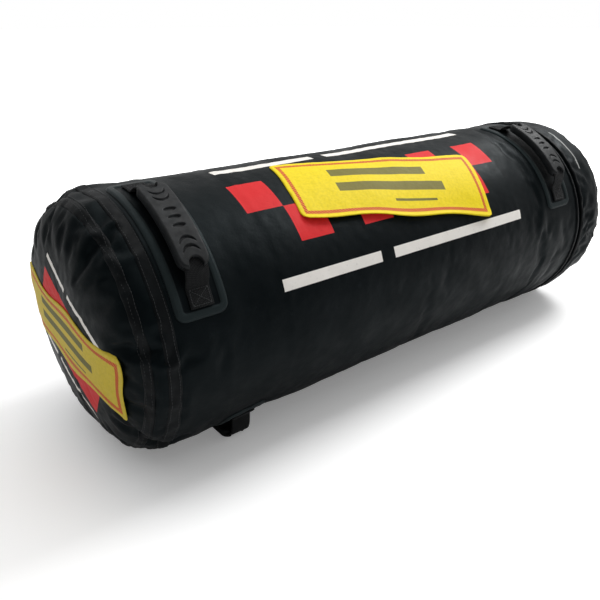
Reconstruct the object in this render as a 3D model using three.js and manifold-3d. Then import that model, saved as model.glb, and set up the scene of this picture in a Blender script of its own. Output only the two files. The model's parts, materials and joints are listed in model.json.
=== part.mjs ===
// A cylindrical carry bag with a vehicle fire blanket rolled up inside it.
//
// Millimetres, +Z up. The bag lies on the plane z = 0 with its axis along X:
// the closed end is at -X and the zipped lid at +X. The front of the bag is -Y.
// Angles around the bag are in degrees, 0 at the front, 90 at the top, 180 at the back.

import * as THREE from 'three';
import { mergeVertices } from 'three/addons/utils/BufferGeometryUtils.js';
import Module from 'manifold-3d';

const wasm = await Module();
wasm.setup();

// ---- Driving dimensions ----------------------------------------------------

const BAG_RADIUS = 180;
const AXIS_HEIGHT = 176; // a filled bag settles 4 mm flat along its belly
const FABRIC = 3; // coated fabric and its lining
const GAP = 0.3; // between pieces that lie on each other

// The ends are superellipses: (r / radius)^square + (travel / reach)^blunt = 1.
const CLOSED_END = { from: -421, reach: 98, square: 4, blunt: 3 };
const LID_END = { from: 430, reach: 94, square: 4, blunt: 3.5 };

const SHOULDER_SEAM_X = -459;
const DISC_SEAM_X = -486;
const LID_SEAM_X = 489;
const SEAM_TAPE = { thickness: 1.6, shoulder: [-467, -451], disc: [-491, -481], lid: [484, 494] };
const BINDING = { width: 6, thickness: 1.2 };
const HEM = { width: 18, zipRoom: 1.5 };
const LAP_SEAM = { from: -446, to: 374, fromAngle: 205, toAngle: 214, thickness: 1.5 };

// The zip lies in a groove between the bag's mouth and the lid.
const ZIP = {
  centreX: 401.4,
  grooveWidth: 10.8,
  radius: 171,
  tapeThickness: 1.1,
  tapeWidth: 19.4,
  coilWidth: 3,
  coilThickness: 3.4,
  coilGap: 1.4,
  endAngle: 151,
};
const ZIP_STOP = { pastZip: 1.4, halfAngle: 1, overhang: 1, lip: 0.4 };
const SLIDER_START_ANGLE = 146.5;
const SLIDER = { halfAngle: 3.7, plate: 2.2, clearance: 0.8, width: 9.4 };
const SLIDER_POST = { width: 0.9, before: 1.5, after: 0.5, overlap: 0.5 };
const BAIL = { radius: 177.6, halfAngle: 1.1, width: 3.6, top: 179.6, hole: 1.1, overlap: 1.2 };
const PULLER = { length: 34, width: 8.6, thickness: 2, corner: 3, pin: 0.8 };
const PULLER_EYE = { radius: 2.2, inset: 6 };
const PULLER_FORK = { width: 4.6, depth: 4.4 };

// The lid's fabric hinge is centred on the back and lies over the bindings.
const HINGE = { halfAngle: 28, clear: 3, width: 19, lift: 1.8, thickness: 1.6 };

// Carry handles: two on top, two under the belly.
const TOP_HANDLE_ANGLE = 54.9;
const TOP_HANDLE_X = [-412, 333];
const BELLY_HANDLES = [{ x: -338, y: -43 }, { x: 259, y: 24 }];
const BELLY_POCKET = { height: 26, halfWidth: 46 };
const PATCH = { length: 226, width: 70, thickness: 2.3, corner: 14 };
const STRAP = { width: 30, thickness: 2.4, footHeight: 4.1, footEnd: 100, footStart: 83 };
const GRIP = { length: 130, width: 39, thickness: 12.5, strapHeight: 6.8, corner: 12 };
const GRIP_HEIGHT = 11; // underside of the grip above the bag's skin
const PASSAGE = { halfHeight: 2.1, width: 30.8 }; // for the webbing, through the grip
const GROOVE_DEPTH = 2.2;
const OVAL = { radiusX: 7.5, radiusY: 2.2, stations: [-11, 0, 11] };
const CRESCENT = { outer: 11, inner: 11.5, halfAngle: 52, shift: 1.7, stations: [26, 35] };
const MOUTH = { width: 18, length: 36, corner: 8.9, past: 6 }; // where the webbing comes out

const BODY_LABEL = { length: 367, height: 120, x: -41, turn: -10.5, angle: 54.9, corner: 10 };
const END_LABEL = { length: 272, height: 86, turn: 25, corner: 9 };
const LABEL_THICKNESS = 1;

const BLANKET = { radius: 163, from: -478, to: 388, bellyZ: 30, edge: 14, bandDepth: 3 };
const BLANKET_BAND = { width: 38, thickness: 1.8, room: 0.3, stations: [-250, 200] };
const PULL_LOOP = { width: 25, thickness: 2.2, reach: 46, spread: 34, lift: 20, offset: 60 };

// ---- Materials -------------------------------------------------------------

function material(color, roughness, metalness = 0) {
  return new THREE.MeshStandardMaterial({ color, roughness, metalness });
}

const TARPAULIN = material(0x23292a, 0.48);
const PATCH_TARPAULIN = material(0x2b3132, 0.5);
const TAPE = material(0x343a3b, 0.5);
const WEBBING = material(0x0d0e10, 0.85);
const GRIP_RUBBER = material(0x1b1f20, 0.6);
const ZIP_TAPE = material(0x141617, 0.85);
const ZIP_COIL = material(0x1e2022, 0.4);
const SLIDER_METAL = material(0x3a3c3e, 0.35, 0.9);
const YELLOW_LABEL = material(0xe9d826, 0.5);
const BLANKET_CLOTH = material(0x8d8f8a, 0.8);
const BLANKET_WEBBING = material(0xc23a2c, 0.8);

// ---- Solids ----------------------------------------------------------------

const radians = THREE.MathUtils.degToRad;
const TURN_SEGMENTS = 36;
const SECTOR_STEP = 6; // degrees; a chord this short stays within GAP of its arc
const ZIP_STEP = 10; // the zip has more room around it

/** Joins shared corners, drops collapsed triangles and turns every face outwards. */
function weld(geometry) {
  const bare = geometry.clone();
  bare.deleteAttribute('normal');
  bare.deleteAttribute('uv');
  const merged = mergeVertices(bare, 1e-4);
  const position = merged.attributes.position;
  const corner = (i) => new THREE.Vector3().fromBufferAttribute(position, i);
  const triangles = [];
  let volume = 0;
  for (let i = 0; i < merged.index.count; i += 3) {
    const [a, b, c] = [0, 1, 2].map((k) => merged.index.getX(i + k));
    if (a === b || b === c || c === a) continue;
    triangles.push([a, b, c]);
    volume += corner(a).dot(corner(b).cross(corner(c)));
  }
  const facing = volume > 0 ? triangles : triangles.map(([a, b, c]) => [a, c, b]);
  merged.setIndex(facing.flat());
  return merged;
}

function solid(geometry) {
  const welded = weld(geometry);
  return new wasm.Manifold(
    new wasm.Mesh({
      numProp: 3,
      vertProperties: new Float32Array(welded.attributes.position.array),
      triVerts: new Uint32Array(welded.index.array),
    }),
  );
}

function geometryOf(shape) {
  if (shape.isBufferGeometry) return weld(shape);
  const mesh = shape.getMesh();
  const geometry = new THREE.BufferGeometry();
  geometry.setAttribute('position', new THREE.BufferAttribute(mesh.vertProperties, 3));
  geometry.setIndex(new THREE.BufferAttribute(mesh.triVerts, 1));
  geometry.computeVertexNormals();
  return geometry;
}

function box(x0, x1, y0, y1, z0, z1) {
  const geometry = new THREE.BoxGeometry(x1 - x0, y1 - y0, z1 - z0);
  return geometry.translate((x0 + x1) / 2, (y0 + y1) / 2, (z0 + z1) / 2);
}

const FAR = 1200; // beyond every piece

/** Everything below a height, between two x values. */
function below(z, x0 = -FAR, x1 = FAR) {
  return solid(box(x0, x1, -FAR, FAR, -FAR, z));
}

// A shape drawn in the (Y, Z) plane is extruded along X.
const YZ_ALONG_X = new THREE.Matrix4().makeBasis(
  new THREE.Vector3(0, 1, 0),
  new THREE.Vector3(0, 0, 1),
  new THREE.Vector3(1, 0, 0),
);

function alongX(shape, x0, x1, curveSegments = 24) {
  const geometry = new THREE.ExtrudeGeometry(shape, {
    depth: x1 - x0,
    bevelEnabled: false,
    curveSegments,
  });
  return geometry.applyMatrix4(YZ_ALONG_X).translate(x0, 0, 0);
}

/** A profile of [x, r] points turned about the X axis of the frame it is placed in. */
function turned(profile, segments = TURN_SEGMENTS) {
  const points = profile.map(([x, r]) => new THREE.Vector2(r, x));
  const toX = new THREE.Matrix4().makeBasis(
    new THREE.Vector3(0, 0, 1),
    new THREE.Vector3(1, 0, 0),
    new THREE.Vector3(0, 1, 0),
  );
  return new THREE.LatheGeometry(points, segments).applyMatrix4(toX);
}

function aroundBagAxis(geometry) {
  return geometry.translate(0, 0, AXIS_HEIGHT);
}

/** A closed band of fabric around the bag's axis between two x values and two radii. */
function ring(x0, x1, innerRadius, outerRadius) {
  const profile = [[x0, innerRadius], [x0, outerRadius], [x1, outerRadius], [x1, innerRadius]];
  return aroundBagAxis(turned([...profile, profile[0]]));
}

/** The same band over part of the turn, from one angle around the bag to another. */
function sector(x0, x1, innerRadius, outerRadius, fromAngle, toAngle, step = SECTOR_STEP) {
  const start = Math.PI - radians(fromAngle);
  const end = Math.PI - radians(toAngle);
  const turn = Math.abs(toAngle - fromAngle);
  const segments = Math.max(2, Math.ceil(turn / step / 2));
  const shape = new THREE.Shape();
  shape.absarc(0, 0, outerRadius, start, end, true);
  shape.absarc(0, 0, innerRadius, end, start, false);
  return aroundBagAxis(alongX(shape, x0, x1, segments));
}

function roundedRectangle(width, height, corner) {
  const x = width / 2;
  const y = height / 2;
  const shape = new THREE.Shape();
  shape.absarc(x - corner, y - corner, corner, 0, Math.PI / 2);
  shape.absarc(corner - x, y - corner, corner, Math.PI / 2, Math.PI);
  shape.absarc(corner - x, corner - y, corner, Math.PI, 1.5 * Math.PI);
  shape.absarc(x - corner, corner - y, corner, 1.5 * Math.PI, 2 * Math.PI);
  return shape;
}

function upright(shape, z0, z1, curveSegments = 2) {
  const settings = { depth: z1 - z0, bevelEnabled: false, curveSegments };
  return new THREE.ExtrudeGeometry(shape, settings).translate(0, 0, z0);
}

// ---- The bag's skin --------------------------------------------------------

const END_STEPS = 6;

function endCurve(end, direction, offset) {
  const points = [];
  for (let i = 0; i <= END_STEPS; i += 1) {
    const t = (i / END_STEPS) * (Math.PI / 2);
    const radius = i === END_STEPS ? 0 : (BAG_RADIUS + offset) * Math.cos(t) ** (2 / end.square);
    const travel = (end.reach + offset) * Math.sin(t) ** (2 / end.blunt);
    points.push([end.from + direction * travel, radius]);
  }
  return points;
}

/** The whole outline of the filled bag, moved outwards by an offset, as one solid. */
function bagOutline(offset) {
  const profile = [...endCurve(CLOSED_END, -1, offset).reverse(), ...endCurve(LID_END, 1, offset)];
  let outline = solid(aroundBagAxis(turned(profile))).subtract(below(-offset));
  const half = BELLY_POCKET.halfWidth - offset;
  for (const { x } of BELLY_HANDLES) {
    outline = outline.subtract(below(BELLY_POCKET.height - offset, x - half, x + half));
  }
  return outline;
}

function slice(shape, x0, x1) {
  return shape.intersect(solid(box(x0, x1, -FAR, FAR, -FAR, FAR)));
}

const SHELL = bagOutline(0).subtract(bagOutline(-FABRIC));

/** A tape lying on the skin, around the whole bag between two x values. */
function skinBand(x0, x1, thickness) {
  const band = bagOutline(GAP + thickness).subtract(bagOutline(GAP));
  return slice(band, x0, x1).subtract(below(0));
}

/** The binding that covers the cut edge of the fabric beside the zip. */
function edgeBinding(x) {
  return skinBand(x, x + BINDING.width, BINDING.thickness);
}

const MOUTH_EDGE_X = ZIP.centreX - ZIP.grooveWidth / 2;
const LID_EDGE_X = ZIP.centreX + ZIP.grooveWidth / 2;

// ---- Bag body --------------------------------------------------------------

function tubeWall() {
  return slice(SHELL, SHOULDER_SEAM_X + GAP / 2, MOUTH_EDGE_X);
}

function closedEndShoulder() {
  return slice(SHELL, DISC_SEAM_X + GAP / 2, SHOULDER_SEAM_X - GAP / 2);
}

function closedEndDisc() {
  return slice(SHELL, CLOSED_END.from - CLOSED_END.reach - FABRIC, DISC_SEAM_X - GAP / 2);
}

function tubeLapSeam() {
  const { from, to, fromAngle, toAngle, thickness } = LAP_SEAM;
  const inner = BAG_RADIUS + GAP;
  return sector(from, to, inner, inner + thickness, fromAngle, toAngle);
}

/** The edge of the fabric, turned in behind the zip. */
function hemRing(x0, x1) {
  const band = solid(ring(x0, x1, ZIP.radius + HEM.zipRoom, BAG_RADIUS - FABRIC - GAP));
  return band.subtract(below(FABRIC + GAP));
}

// ---- Zip -------------------------------------------------------------------

function zipTape(side) {
  const edge = ZIP.coilGap / 2 + ZIP.coilWidth + GAP;
  const near = ZIP.centreX + side * edge;
  const far = near + side * ZIP.tapeWidth;
  const outer = ZIP.radius + ZIP.tapeThickness / 2;
  return sector(
    Math.min(near, far),
    Math.max(near, far),
    outer - ZIP.tapeThickness,
    outer,
    -ZIP.endAngle,
    ZIP.endAngle,
    ZIP_STEP,
  );
}

function zipCoil(side) {
  const near = ZIP.centreX + (side * ZIP.coilGap) / 2;
  const far = near + side * ZIP.coilWidth;
  const inner = ZIP.radius - ZIP.coilThickness / 2;
  const outer = ZIP.radius + ZIP.coilThickness / 2;
  const [x0, x1] = [Math.min(near, far), Math.max(near, far)];
  return sector(x0, x1, inner, outer, -ZIP.endAngle, ZIP.endAngle, ZIP_STEP);
}

/** A crimped stop at one end of the bag's half of the zip. */
function zipStop(angle) {
  const near = ZIP.centreX - ZIP.coilGap / 2;
  const reach = ZIP.coilThickness / 2 + ZIP_STOP.lip;
  return sector(
    near - ZIP.coilWidth - ZIP_STOP.overhang,
    near,
    ZIP.radius - reach,
    ZIP.radius + reach,
    angle - ZIP_STOP.halfAngle,
    angle + ZIP_STOP.halfAngle,
  );
}

/** Two plates over and under the coils, joined by a thin post between them. */
function zipSlider() {
  const reach = ZIP.coilThickness / 2 + SLIDER.clearance;
  const x0 = ZIP.centreX - SLIDER.width / 2;
  const x1 = ZIP.centreX + SLIDER.width / 2;
  const [a0, a1] = [SLIDER_START_ANGLE - SLIDER.halfAngle, SLIDER_START_ANGLE + SLIDER.halfAngle];
  const top = sector(x0, x1, ZIP.radius + reach, ZIP.radius + reach + SLIDER.plate, a0, a1);
  const bottom = sector(x0, x1, ZIP.radius - reach - SLIDER.plate, ZIP.radius - reach, a0, a1);
  const halfPost = SLIDER_POST.width / 2;
  const post = sector(
    ZIP.centreX - halfPost,
    ZIP.centreX + halfPost,
    ZIP.radius - reach - SLIDER_POST.overlap,
    ZIP.radius + reach + SLIDER_POST.overlap,
    SLIDER_START_ANGLE - SLIDER_POST.before,
    SLIDER_START_ANGLE + SLIDER_POST.after,
  );
  const bail = sector(
    ZIP.centreX - BAIL.width / 2,
    ZIP.centreX + BAIL.width / 2,
    ZIP.radius + reach + SLIDER.plate - BAIL.overlap,
    BAIL.top,
    SLIDER_START_ANGLE - BAIL.halfAngle,
    SLIDER_START_ANGLE + BAIL.halfAngle,
  );
  const hole = onBail(BAIL.hole, 2 * BAIL.width);
  return solid(top).add(solid(bottom)).add(solid(post)).add(solid(bail)).subtract(solid(hole));
}

/** Where the puller's pin runs through the slider's bail. */
function bailCentre() {
  const angle = radians(SLIDER_START_ANGLE);
  const y = -BAIL.radius * Math.cos(angle);
  const z = AXIS_HEIGHT + BAIL.radius * Math.sin(angle);
  return new THREE.Vector3(ZIP.centreX, y, z);
}

/** A cylinder along X through the bail. */
function onBail(radius, length) {
  const cylinder = new THREE.CylinderGeometry(radius, radius, length, 16).rotateZ(Math.PI / 2);
  return cylinder.translate(...bailCentre().toArray());
}

/** A flat puller with a fork and a pin, lying along the groove towards the front. */
function zipPuller() {
  const { length, width, thickness, corner } = PULLER;
  const outline = roundedRectangle(width, length, corner);
  const eyeY = PULLER_EYE.inset - length / 2;
  outline.holes.push(new THREE.Path().absarc(0, eyeY, PULLER_EYE.radius, 0, 2 * Math.PI));
  const plate = upright(outline, -thickness / 2, thickness / 2);
  plate.translate(0, thickness - length / 2, 0);
  const halfFork = PULLER_FORK.width / 2;
  const slot = box(-halfFork, halfFork, -PULLER_FORK.depth, length, -thickness, thickness);
  const place = new THREE.Matrix4().makeRotationX(radians(90 - SLIDER_START_ANGLE));
  place.setPosition(bailCentre());
  const blade = solid(plate).subtract(solid(slot));
  const pin = onBail(PULLER.pin, width - 1);
  return solid(geometryOf(blade).applyMatrix4(place)).add(solid(pin));
}

// ---- Lid -------------------------------------------------------------------

function lidWall() {
  return slice(SHELL, LID_EDGE_X, LID_SEAM_X - GAP / 2);
}

function lidDisc() {
  return slice(SHELL, LID_SEAM_X + GAP / 2, LID_END.from + LID_END.reach + FABRIC);
}

/** One half of the fabric hinge, on the bag or on the lid, clear of the hinge line. */
function hingeHalf(side) {
  const near = ZIP.centreX + side * HINGE.clear;
  const far = near + side * HINGE.width;
  const inner = BAG_RADIUS + GAP + HINGE.lift;
  return sector(
    Math.min(near, far),
    Math.max(near, far),
    inner,
    inner + HINGE.thickness,
    180 - HINGE.halfAngle,
    180 + HINGE.halfAngle,
  );
}

// ---- Carry handles ---------------------------------------------------------
//
// A handle is drawn in u, across the bag, and h, off its skin. Its own frame has x along
// the bag, y along u and z along h at the middle of the handle. A form says where a (u, h)
// point of the skin and of the grip lies in (y, z), and how a cutter is set over the grip.

function onRound(u, h) {
  const turn = u / BAG_RADIUS;
  const radius = BAG_RADIUS + h;
  return [radius * Math.sin(turn), radius * Math.cos(turn) - BAG_RADIUS];
}

/** Top handles follow the round of the bag. */
const ROUND_FORM = {
  skin: onRound,
  grip: onRound,
  place: (geometry, u) =>
    geometry
      .translate(0, 0, BAG_RADIUS)
      .rotateX(-u / BAG_RADIUS)
      .translate(0, 0, -BAG_RADIUS),
  spread: (length, h) => length / (1 + h / BAG_RADIUS),
  bends: [],
};

const BEND = 0.01; // length over which a belly patch turns from flat to round

/** Belly handles lie flat under the bag, and their feet turn up around its sides. */
function bellyForm(y) {
  const rise = AXIS_HEIGHT - BELLY_POCKET.height;
  const flatHalf = Math.sqrt(BAG_RADIUS ** 2 - rise ** 2);
  const start = Math.asin(rise / BAG_RADIUS);
  return {
    skin: (u, h) => {
      const past = Math.abs(u - y) - flatHalf;
      if (past <= 0) return [u, h];
      const angle = start - past / BAG_RADIUS;
      const radius = BAG_RADIUS + h;
      const side = Math.sign(u - y);
      return [y + side * radius * Math.cos(angle), radius * Math.sin(angle) - rise];
    },
    grip: (u, h) => [u, h],
    place: (geometry, u) => geometry.translate(0, u, 0),
    spread: (length) => length,
    bends: [y - flatHalf - BEND, y - flatHalf, y + flatHalf, y + flatHalf + BEND],
  };
}

/** The outline between two heights over the skin, as a shape in the handle's (y, z) plane. */
function band(point, bends, u0, u1, h0, h1) {
  const step = 16;
  const count = Math.ceil((u1 - u0) / step);
  const stations = Array.from({ length: count + 1 }, (_, i) => u0 + ((u1 - u0) * i) / count);
  for (const bend of bends) {
    if (bend > u0 && bend < u1) stations.push(bend);
  }
  stations.sort((a, b) => a - b);
  const lower = stations.map((u) => point(u, h0));
  const upper = stations.map((u) => point(u, h1)).reverse();
  return new THREE.Shape([...lower, ...upper].map(([y, z]) => new THREE.Vector2(y, z)));
}

/** A ribbon of even thickness along a smooth line through points of the (y, z) plane. */
function ribbon(points, thickness, samples = 26) {
  const line = new THREE.SplineCurve(points.map(([y, z]) => new THREE.Vector2(y, z)));
  const left = [];
  const right = [];
  for (let i = 0; i <= samples; i += 1) {
    const centre = line.getPointAt(i / samples);
    const along = line.getTangentAt(i / samples);
    const across = new THREE.Vector2(-along.y, along.x).multiplyScalar(thickness / 2);
    left.push(centre.clone().add(across));
    right.push(centre.clone().sub(across));
  }
  return new THREE.Shape([...left, ...right.reverse()]);
}

function centred(shape, width, curveSegments) {
  return alongX(shape, -width / 2, width / 2, curveSegments);
}

function handlePatch(form) {
  const half = PATCH.length / 2;
  const section = band(form.skin, form.bends, -half, half, GAP, GAP + PATCH.thickness);
  const sheet = solid(centred(section, PATCH.width));
  const ends = [form.skin(-half, PATCH.thickness), form.skin(half, PATCH.thickness)];
  const [y0, y1] = ends.map(([y]) => y);
  const plan = roundedRectangle(PATCH.width, y1 - y0, PATCH.corner);
  const prism = upright(plan, -BAG_RADIUS, 2 * PATCH.thickness).translate(0, (y0 + y1) / 2, 0);
  return sheet.intersect(solid(prism));
}

/** The line of the webbing: flat on the patch at both feet, through the grip between them. */
function strapLine(form) {
  const inGrip = GRIP_HEIGHT + GRIP.strapHeight;
  const gripEnd = form.spread(GRIP.length, inGrip) / 2;
  const { footHeight, footEnd, footStart } = STRAP;
  const foot = [[footEnd, footHeight], [91, footHeight], [footStart, footHeight + 1]];
  const rise = [[gripEnd + 7, inGrip - 4], [gripEnd + 1, inGrip - 0.4]];
  const run = [[gripEnd * 0.85, inGrip], [gripEnd * 0.6, inGrip], [gripEnd * 0.3, inGrip]];
  const side = (sign) => [
    ...foot.map(([u, h]) => form.skin(sign * u, h)),
    ...[...rise, ...run].map(([u, h]) => form.grip(sign * u, h)),
  ];
  return [...side(-1), form.grip(0, inGrip), ...side(1).reverse()];
}

function handleStrap(form) {
  return centred(ribbon(strapLine(form), STRAP.thickness), STRAP.width);
}

function ellipse(radiusX, radiusY) {
  return new THREE.Shape().absellipse(0, 0, radiusX, radiusY, 0, 2 * Math.PI);
}

/** A crescent across the grip that bulges towards +y or -y. */
function crescent(direction) {
  const { outer, inner, shift } = CRESCENT;
  const spread = radians(CRESCENT.halfAngle);
  const shape = new THREE.Shape();
  shape.absarc(0, -outer, outer, Math.PI / 2 - spread, Math.PI / 2 + spread, false);
  const [x, y] = [outer * Math.sin(spread), outer * Math.cos(spread) - outer];
  const innerSpread = Math.asin(x / inner);
  const innerY = y - inner * Math.cos(innerSpread);
  shape.absarc(0, innerY, inner, Math.PI / 2 + innerSpread, Math.PI / 2 - innerSpread, true);
  const geometry = upright(shape, -1, 1, 3);
  return geometry.translate(0, shift, 0).scale(1, direction, 1);
}

/** Moulded rubber sleeve with finger grooves on top and open ends for the webbing. */
function handleGrip(form) {
  const top = GRIP_HEIGHT + GRIP.thickness;
  const middle = GRIP_HEIGHT + GRIP.strapHeight;
  const half = form.spread(GRIP.length, middle) / 2;
  const body = centred(band(form.grip, [], -half, half, GRIP_HEIGHT, top), GRIP.width);
  const plan = roundedRectangle(GRIP.width, GRIP.length, GRIP.corner);
  let grip = solid(body).intersect(solid(upright(plan, -BAG_RADIUS, BAG_RADIUS)));

  const [low, high] = [middle - PASSAGE.halfHeight, middle + PASSAGE.halfHeight];
  const passage = band(form.grip, [], -half - 5, half + 5, low, high);
  grip = grip.subtract(solid(centred(passage, PASSAGE.width)));

  const carve = (geometry, u, floor) => {
    const depth = top + 1 - floor;
    const cutter = geometry.scale(1, 1, depth / 2).translate(0, 0, floor + depth / 2);
    grip = grip.subtract(solid(form.place(cutter, u)));
  };
  const grooveFloor = top - GROOVE_DEPTH;
  for (const u of OVAL.stations) {
    carve(upright(ellipse(OVAL.radiusX, OVAL.radiusY), -1, 1, 5), u, grooveFloor);
  }
  for (const direction of [-1, 1]) {
    for (const u of CRESCENT.stations) {
      carve(crescent(-direction), direction * u, grooveFloor);
    }
    const mouth = roundedRectangle(MOUTH.width, MOUTH.length, MOUTH.corner);
    carve(upright(mouth, -1, 1, 3), direction * (half + MOUTH.past), middle);
  }
  return grip;
}

function handle(name, form) {
  const group = new THREE.Group();
  group.add(piece(`${name}_patch`, handlePatch(form), PATCH_TARPAULIN));
  group.add(piece(`${name}_strap`, handleStrap(form), WEBBING));
  group.add(piece(`${name}_grip`, handleGrip(form), GRIP_RUBBER));
  return group;
}

function topHandle(name, x) {
  const group = handle(name, ROUND_FORM);
  const angle = radians(TOP_HANDLE_ANGLE);
  const y = -BAG_RADIUS * Math.cos(angle);
  const z = AXIS_HEIGHT + BAG_RADIUS * Math.sin(angle);
  group.position.set(x, y, z);
  group.rotation.x = Math.PI / 2 - angle;
  return group;
}

function bellyHandle(name, { x, y }) {
  const group = handle(name, bellyForm(y));
  group.position.set(x, y, BELLY_POCKET.height);
  group.rotation.x = Math.PI;
  return group;
}

// ---- Labels ----------------------------------------------------------------

/** A plain label that follows the skin, cut out by its outline turned on the surface. */
function bodyLabel() {
  const { length, height, x, turn, angle, corner } = BODY_LABEL;
  const inner = BAG_RADIUS + GAP;
  const spread = 30;
  const outer = inner + LABEL_THICKNESS;
  const band = sector(x - length, x + length, inner, outer, angle - spread, angle + spread);
  const plan = upright(roundedRectangle(length, height, corner), 0, 2 * BAG_RADIUS);
  plan.rotateZ(radians(turn)).rotateX(Math.PI / 2 - radians(angle)).translate(x, 0, AXIS_HEIGHT);
  return solid(band).intersect(solid(plan));
}

function endLabel() {
  const { length, height, turn, corner } = END_LABEL;
  const band = bagOutline(GAP + LABEL_THICKNESS).subtract(bagOutline(GAP));
  const plan = upright(roundedRectangle(length, height, corner), 0, BAG_RADIUS);
  const lean = new THREE.Matrix4().makeBasis(
    new THREE.Vector3(0, -1, 0),
    new THREE.Vector3(0, 0, 1),
    new THREE.Vector3(-1, 0, 0),
  );
  plan.rotateZ(radians(turn)).applyMatrix4(lean);
  plan.rotateX(Math.PI / 2 - radians(TOP_HANDLE_ANGLE)).translate(CLOSED_END.from, 0, AXIS_HEIGHT);
  return band.intersect(solid(plan));
}

// ---- Blanket ---------------------------------------------------------------

/** The rolled blanket settles flat where it lies on the bag's floor. */
function blanketCore(radius, x0, x1, bellyZ) {
  const { edge } = BLANKET;
  const start = [[x0, 0], [x0, radius - edge], [x0 + edge, radius]];
  const end = [[x1 - edge, radius], [x1, radius - edge], [x1, 0]];
  const roll = solid(aroundBagAxis(turned([...start, ...end], 40)));
  return roll.subtract(below(bellyZ));
}

function blanketRoll() {
  const { radius, from, to, bellyZ, bandDepth } = BLANKET;
  return blanketCore(radius - bandDepth, from, to, bellyZ + 2);
}

/** A flat strap buckled around the roll. */
function blanketBand(x) {
  const { width, thickness, room } = BLANKET_BAND;
  const inner = BLANKET.radius - BLANKET.bandDepth + room;
  const innerZ = BLANKET.bellyZ + 2 - room;
  const wrap = blanketCore(inner + thickness, x - 2 * width, x + 2 * width, innerZ - thickness);
  const hollow = blanketCore(inner, x - 3 * width, x + 3 * width, innerZ);
  return slice(wrap.subtract(hollow), x - width / 2, x + width / 2);
}

/** A webbing loop that stands out of the roll's front face, to drag the blanket out by. */
function pullLoop(y) {
  const { width, thickness, reach, spread, lift } = PULL_LOOP;
  const line = [[0, -spread], [0, -spread * 0.8], [reach * 0.5, -spread * 0.55], [reach, 0]];
  const mirrored = line.slice(0, -1).map(([x, z]) => [x, -z]).reverse();
  const geometry = centred(ribbon([...line, ...mirrored], thickness, 18), width);
  const upwards = new THREE.Matrix4().makeBasis(
    new THREE.Vector3(0, 1, 0),
    new THREE.Vector3(1, 0, 0),
    new THREE.Vector3(0, 0, -1),
  );
  const x = BLANKET.to + GAP + thickness / 2 + 0.1;
  return geometry.applyMatrix4(upwards).translate(x, y, AXIS_HEIGHT + lift);
}

// ---- Assembly --------------------------------------------------------------

function piece(name, shape, look) {
  const mesh = new THREE.Mesh(geometryOf(shape), look);
  mesh.name = name;
  return mesh;
}

const bag = new THREE.Group();

bag.add(piece('tube_wall', tubeWall(), TARPAULIN));
bag.add(piece('tube_lap_seam', tubeLapSeam(), TAPE));
bag.add(piece('closed_end_shoulder', closedEndShoulder(), TARPAULIN));
bag.add(piece('closed_end_disc', closedEndDisc(), TARPAULIN));
bag.add(piece('shoulder_weld_tape', skinBand(...SEAM_TAPE.shoulder, SEAM_TAPE.thickness), TAPE));
bag.add(piece('disc_weld_tape', skinBand(...SEAM_TAPE.disc, SEAM_TAPE.thickness), TAPE));
bag.add(piece('mouth_hem', hemRing(MOUTH_EDGE_X - HEM.width, MOUTH_EDGE_X - GAP), TARPAULIN));
bag.add(piece('mouth_binding', edgeBinding(MOUTH_EDGE_X - BINDING.width), TAPE));

bag.add(piece('zip_tape_bag_side', zipTape(-1), ZIP_TAPE));
bag.add(piece('zip_coil_bag_side', zipCoil(-1), ZIP_COIL));
bag.add(piece('zip_stop_closed', zipStop(ZIP.endAngle + ZIP_STOP.pastZip), SLIDER_METAL));
bag.add(piece('zip_stop_open', zipStop(-ZIP.endAngle - ZIP_STOP.pastZip), SLIDER_METAL));
bag.add(piece('zip_slider', zipSlider(), SLIDER_METAL));
bag.add(piece('zip_puller', zipPuller(), SLIDER_METAL));

bag.add(piece('lid_wall', lidWall(), TARPAULIN));
bag.add(piece('lid_disc', lidDisc(), TARPAULIN));
bag.add(piece('lid_weld_tape', skinBand(...SEAM_TAPE.lid, SEAM_TAPE.thickness), TAPE));
bag.add(piece('lid_hem', hemRing(LID_EDGE_X + GAP, LID_EDGE_X + HEM.width), TARPAULIN));
bag.add(piece('lid_binding', edgeBinding(LID_EDGE_X), TAPE));
bag.add(piece('zip_tape_lid_side', zipTape(1), ZIP_TAPE));
bag.add(piece('zip_coil_lid_side', zipCoil(1), ZIP_COIL));
bag.add(piece('hinge_fabric_bag_half', hingeHalf(-1), TARPAULIN));
bag.add(piece('hinge_fabric_lid_half', hingeHalf(1), TARPAULIN));

bag.add(topHandle('top_handle_closed_end', TOP_HANDLE_X[0]));
bag.add(topHandle('top_handle_lid_end', TOP_HANDLE_X[1]));
bag.add(bellyHandle('belly_handle_closed_end', BELLY_HANDLES[0]));
bag.add(bellyHandle('belly_handle_lid_end', BELLY_HANDLES[1]));

bag.add(piece('body_label', bodyLabel(), YELLOW_LABEL));
bag.add(piece('end_label', endLabel(), YELLOW_LABEL));

bag.add(piece('blanket_roll', blanketRoll(), BLANKET_CLOTH));
bag.add(piece('blanket_band_closed_end', blanketBand(BLANKET_BAND.stations[0]), BLANKET_WEBBING));
bag.add(piece('blanket_band_lid_end', blanketBand(BLANKET_BAND.stations[1]), BLANKET_WEBBING));
bag.add(piece('blanket_pull_loop_front', pullLoop(-PULL_LOOP.offset), BLANKET_WEBBING));
bag.add(piece('blanket_pull_loop_back', pullLoop(PULL_LOOP.offset), BLANKET_WEBBING));

export default bag;
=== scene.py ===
"""The looks of a vehicle fire blanket in its round carry bag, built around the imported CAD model.

Metres, +Z up. The bag lies along X, its zipped lid at +X and its front at -Y. Angles around the
bag are in degrees: 0 at the front, 90 at the top, 180 at the back.
"""

import json
import math

import bmesh
import bpy
import numpy as np
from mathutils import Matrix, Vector, kdtree, noise
from mathutils.bvhtree import BVHTree


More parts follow.
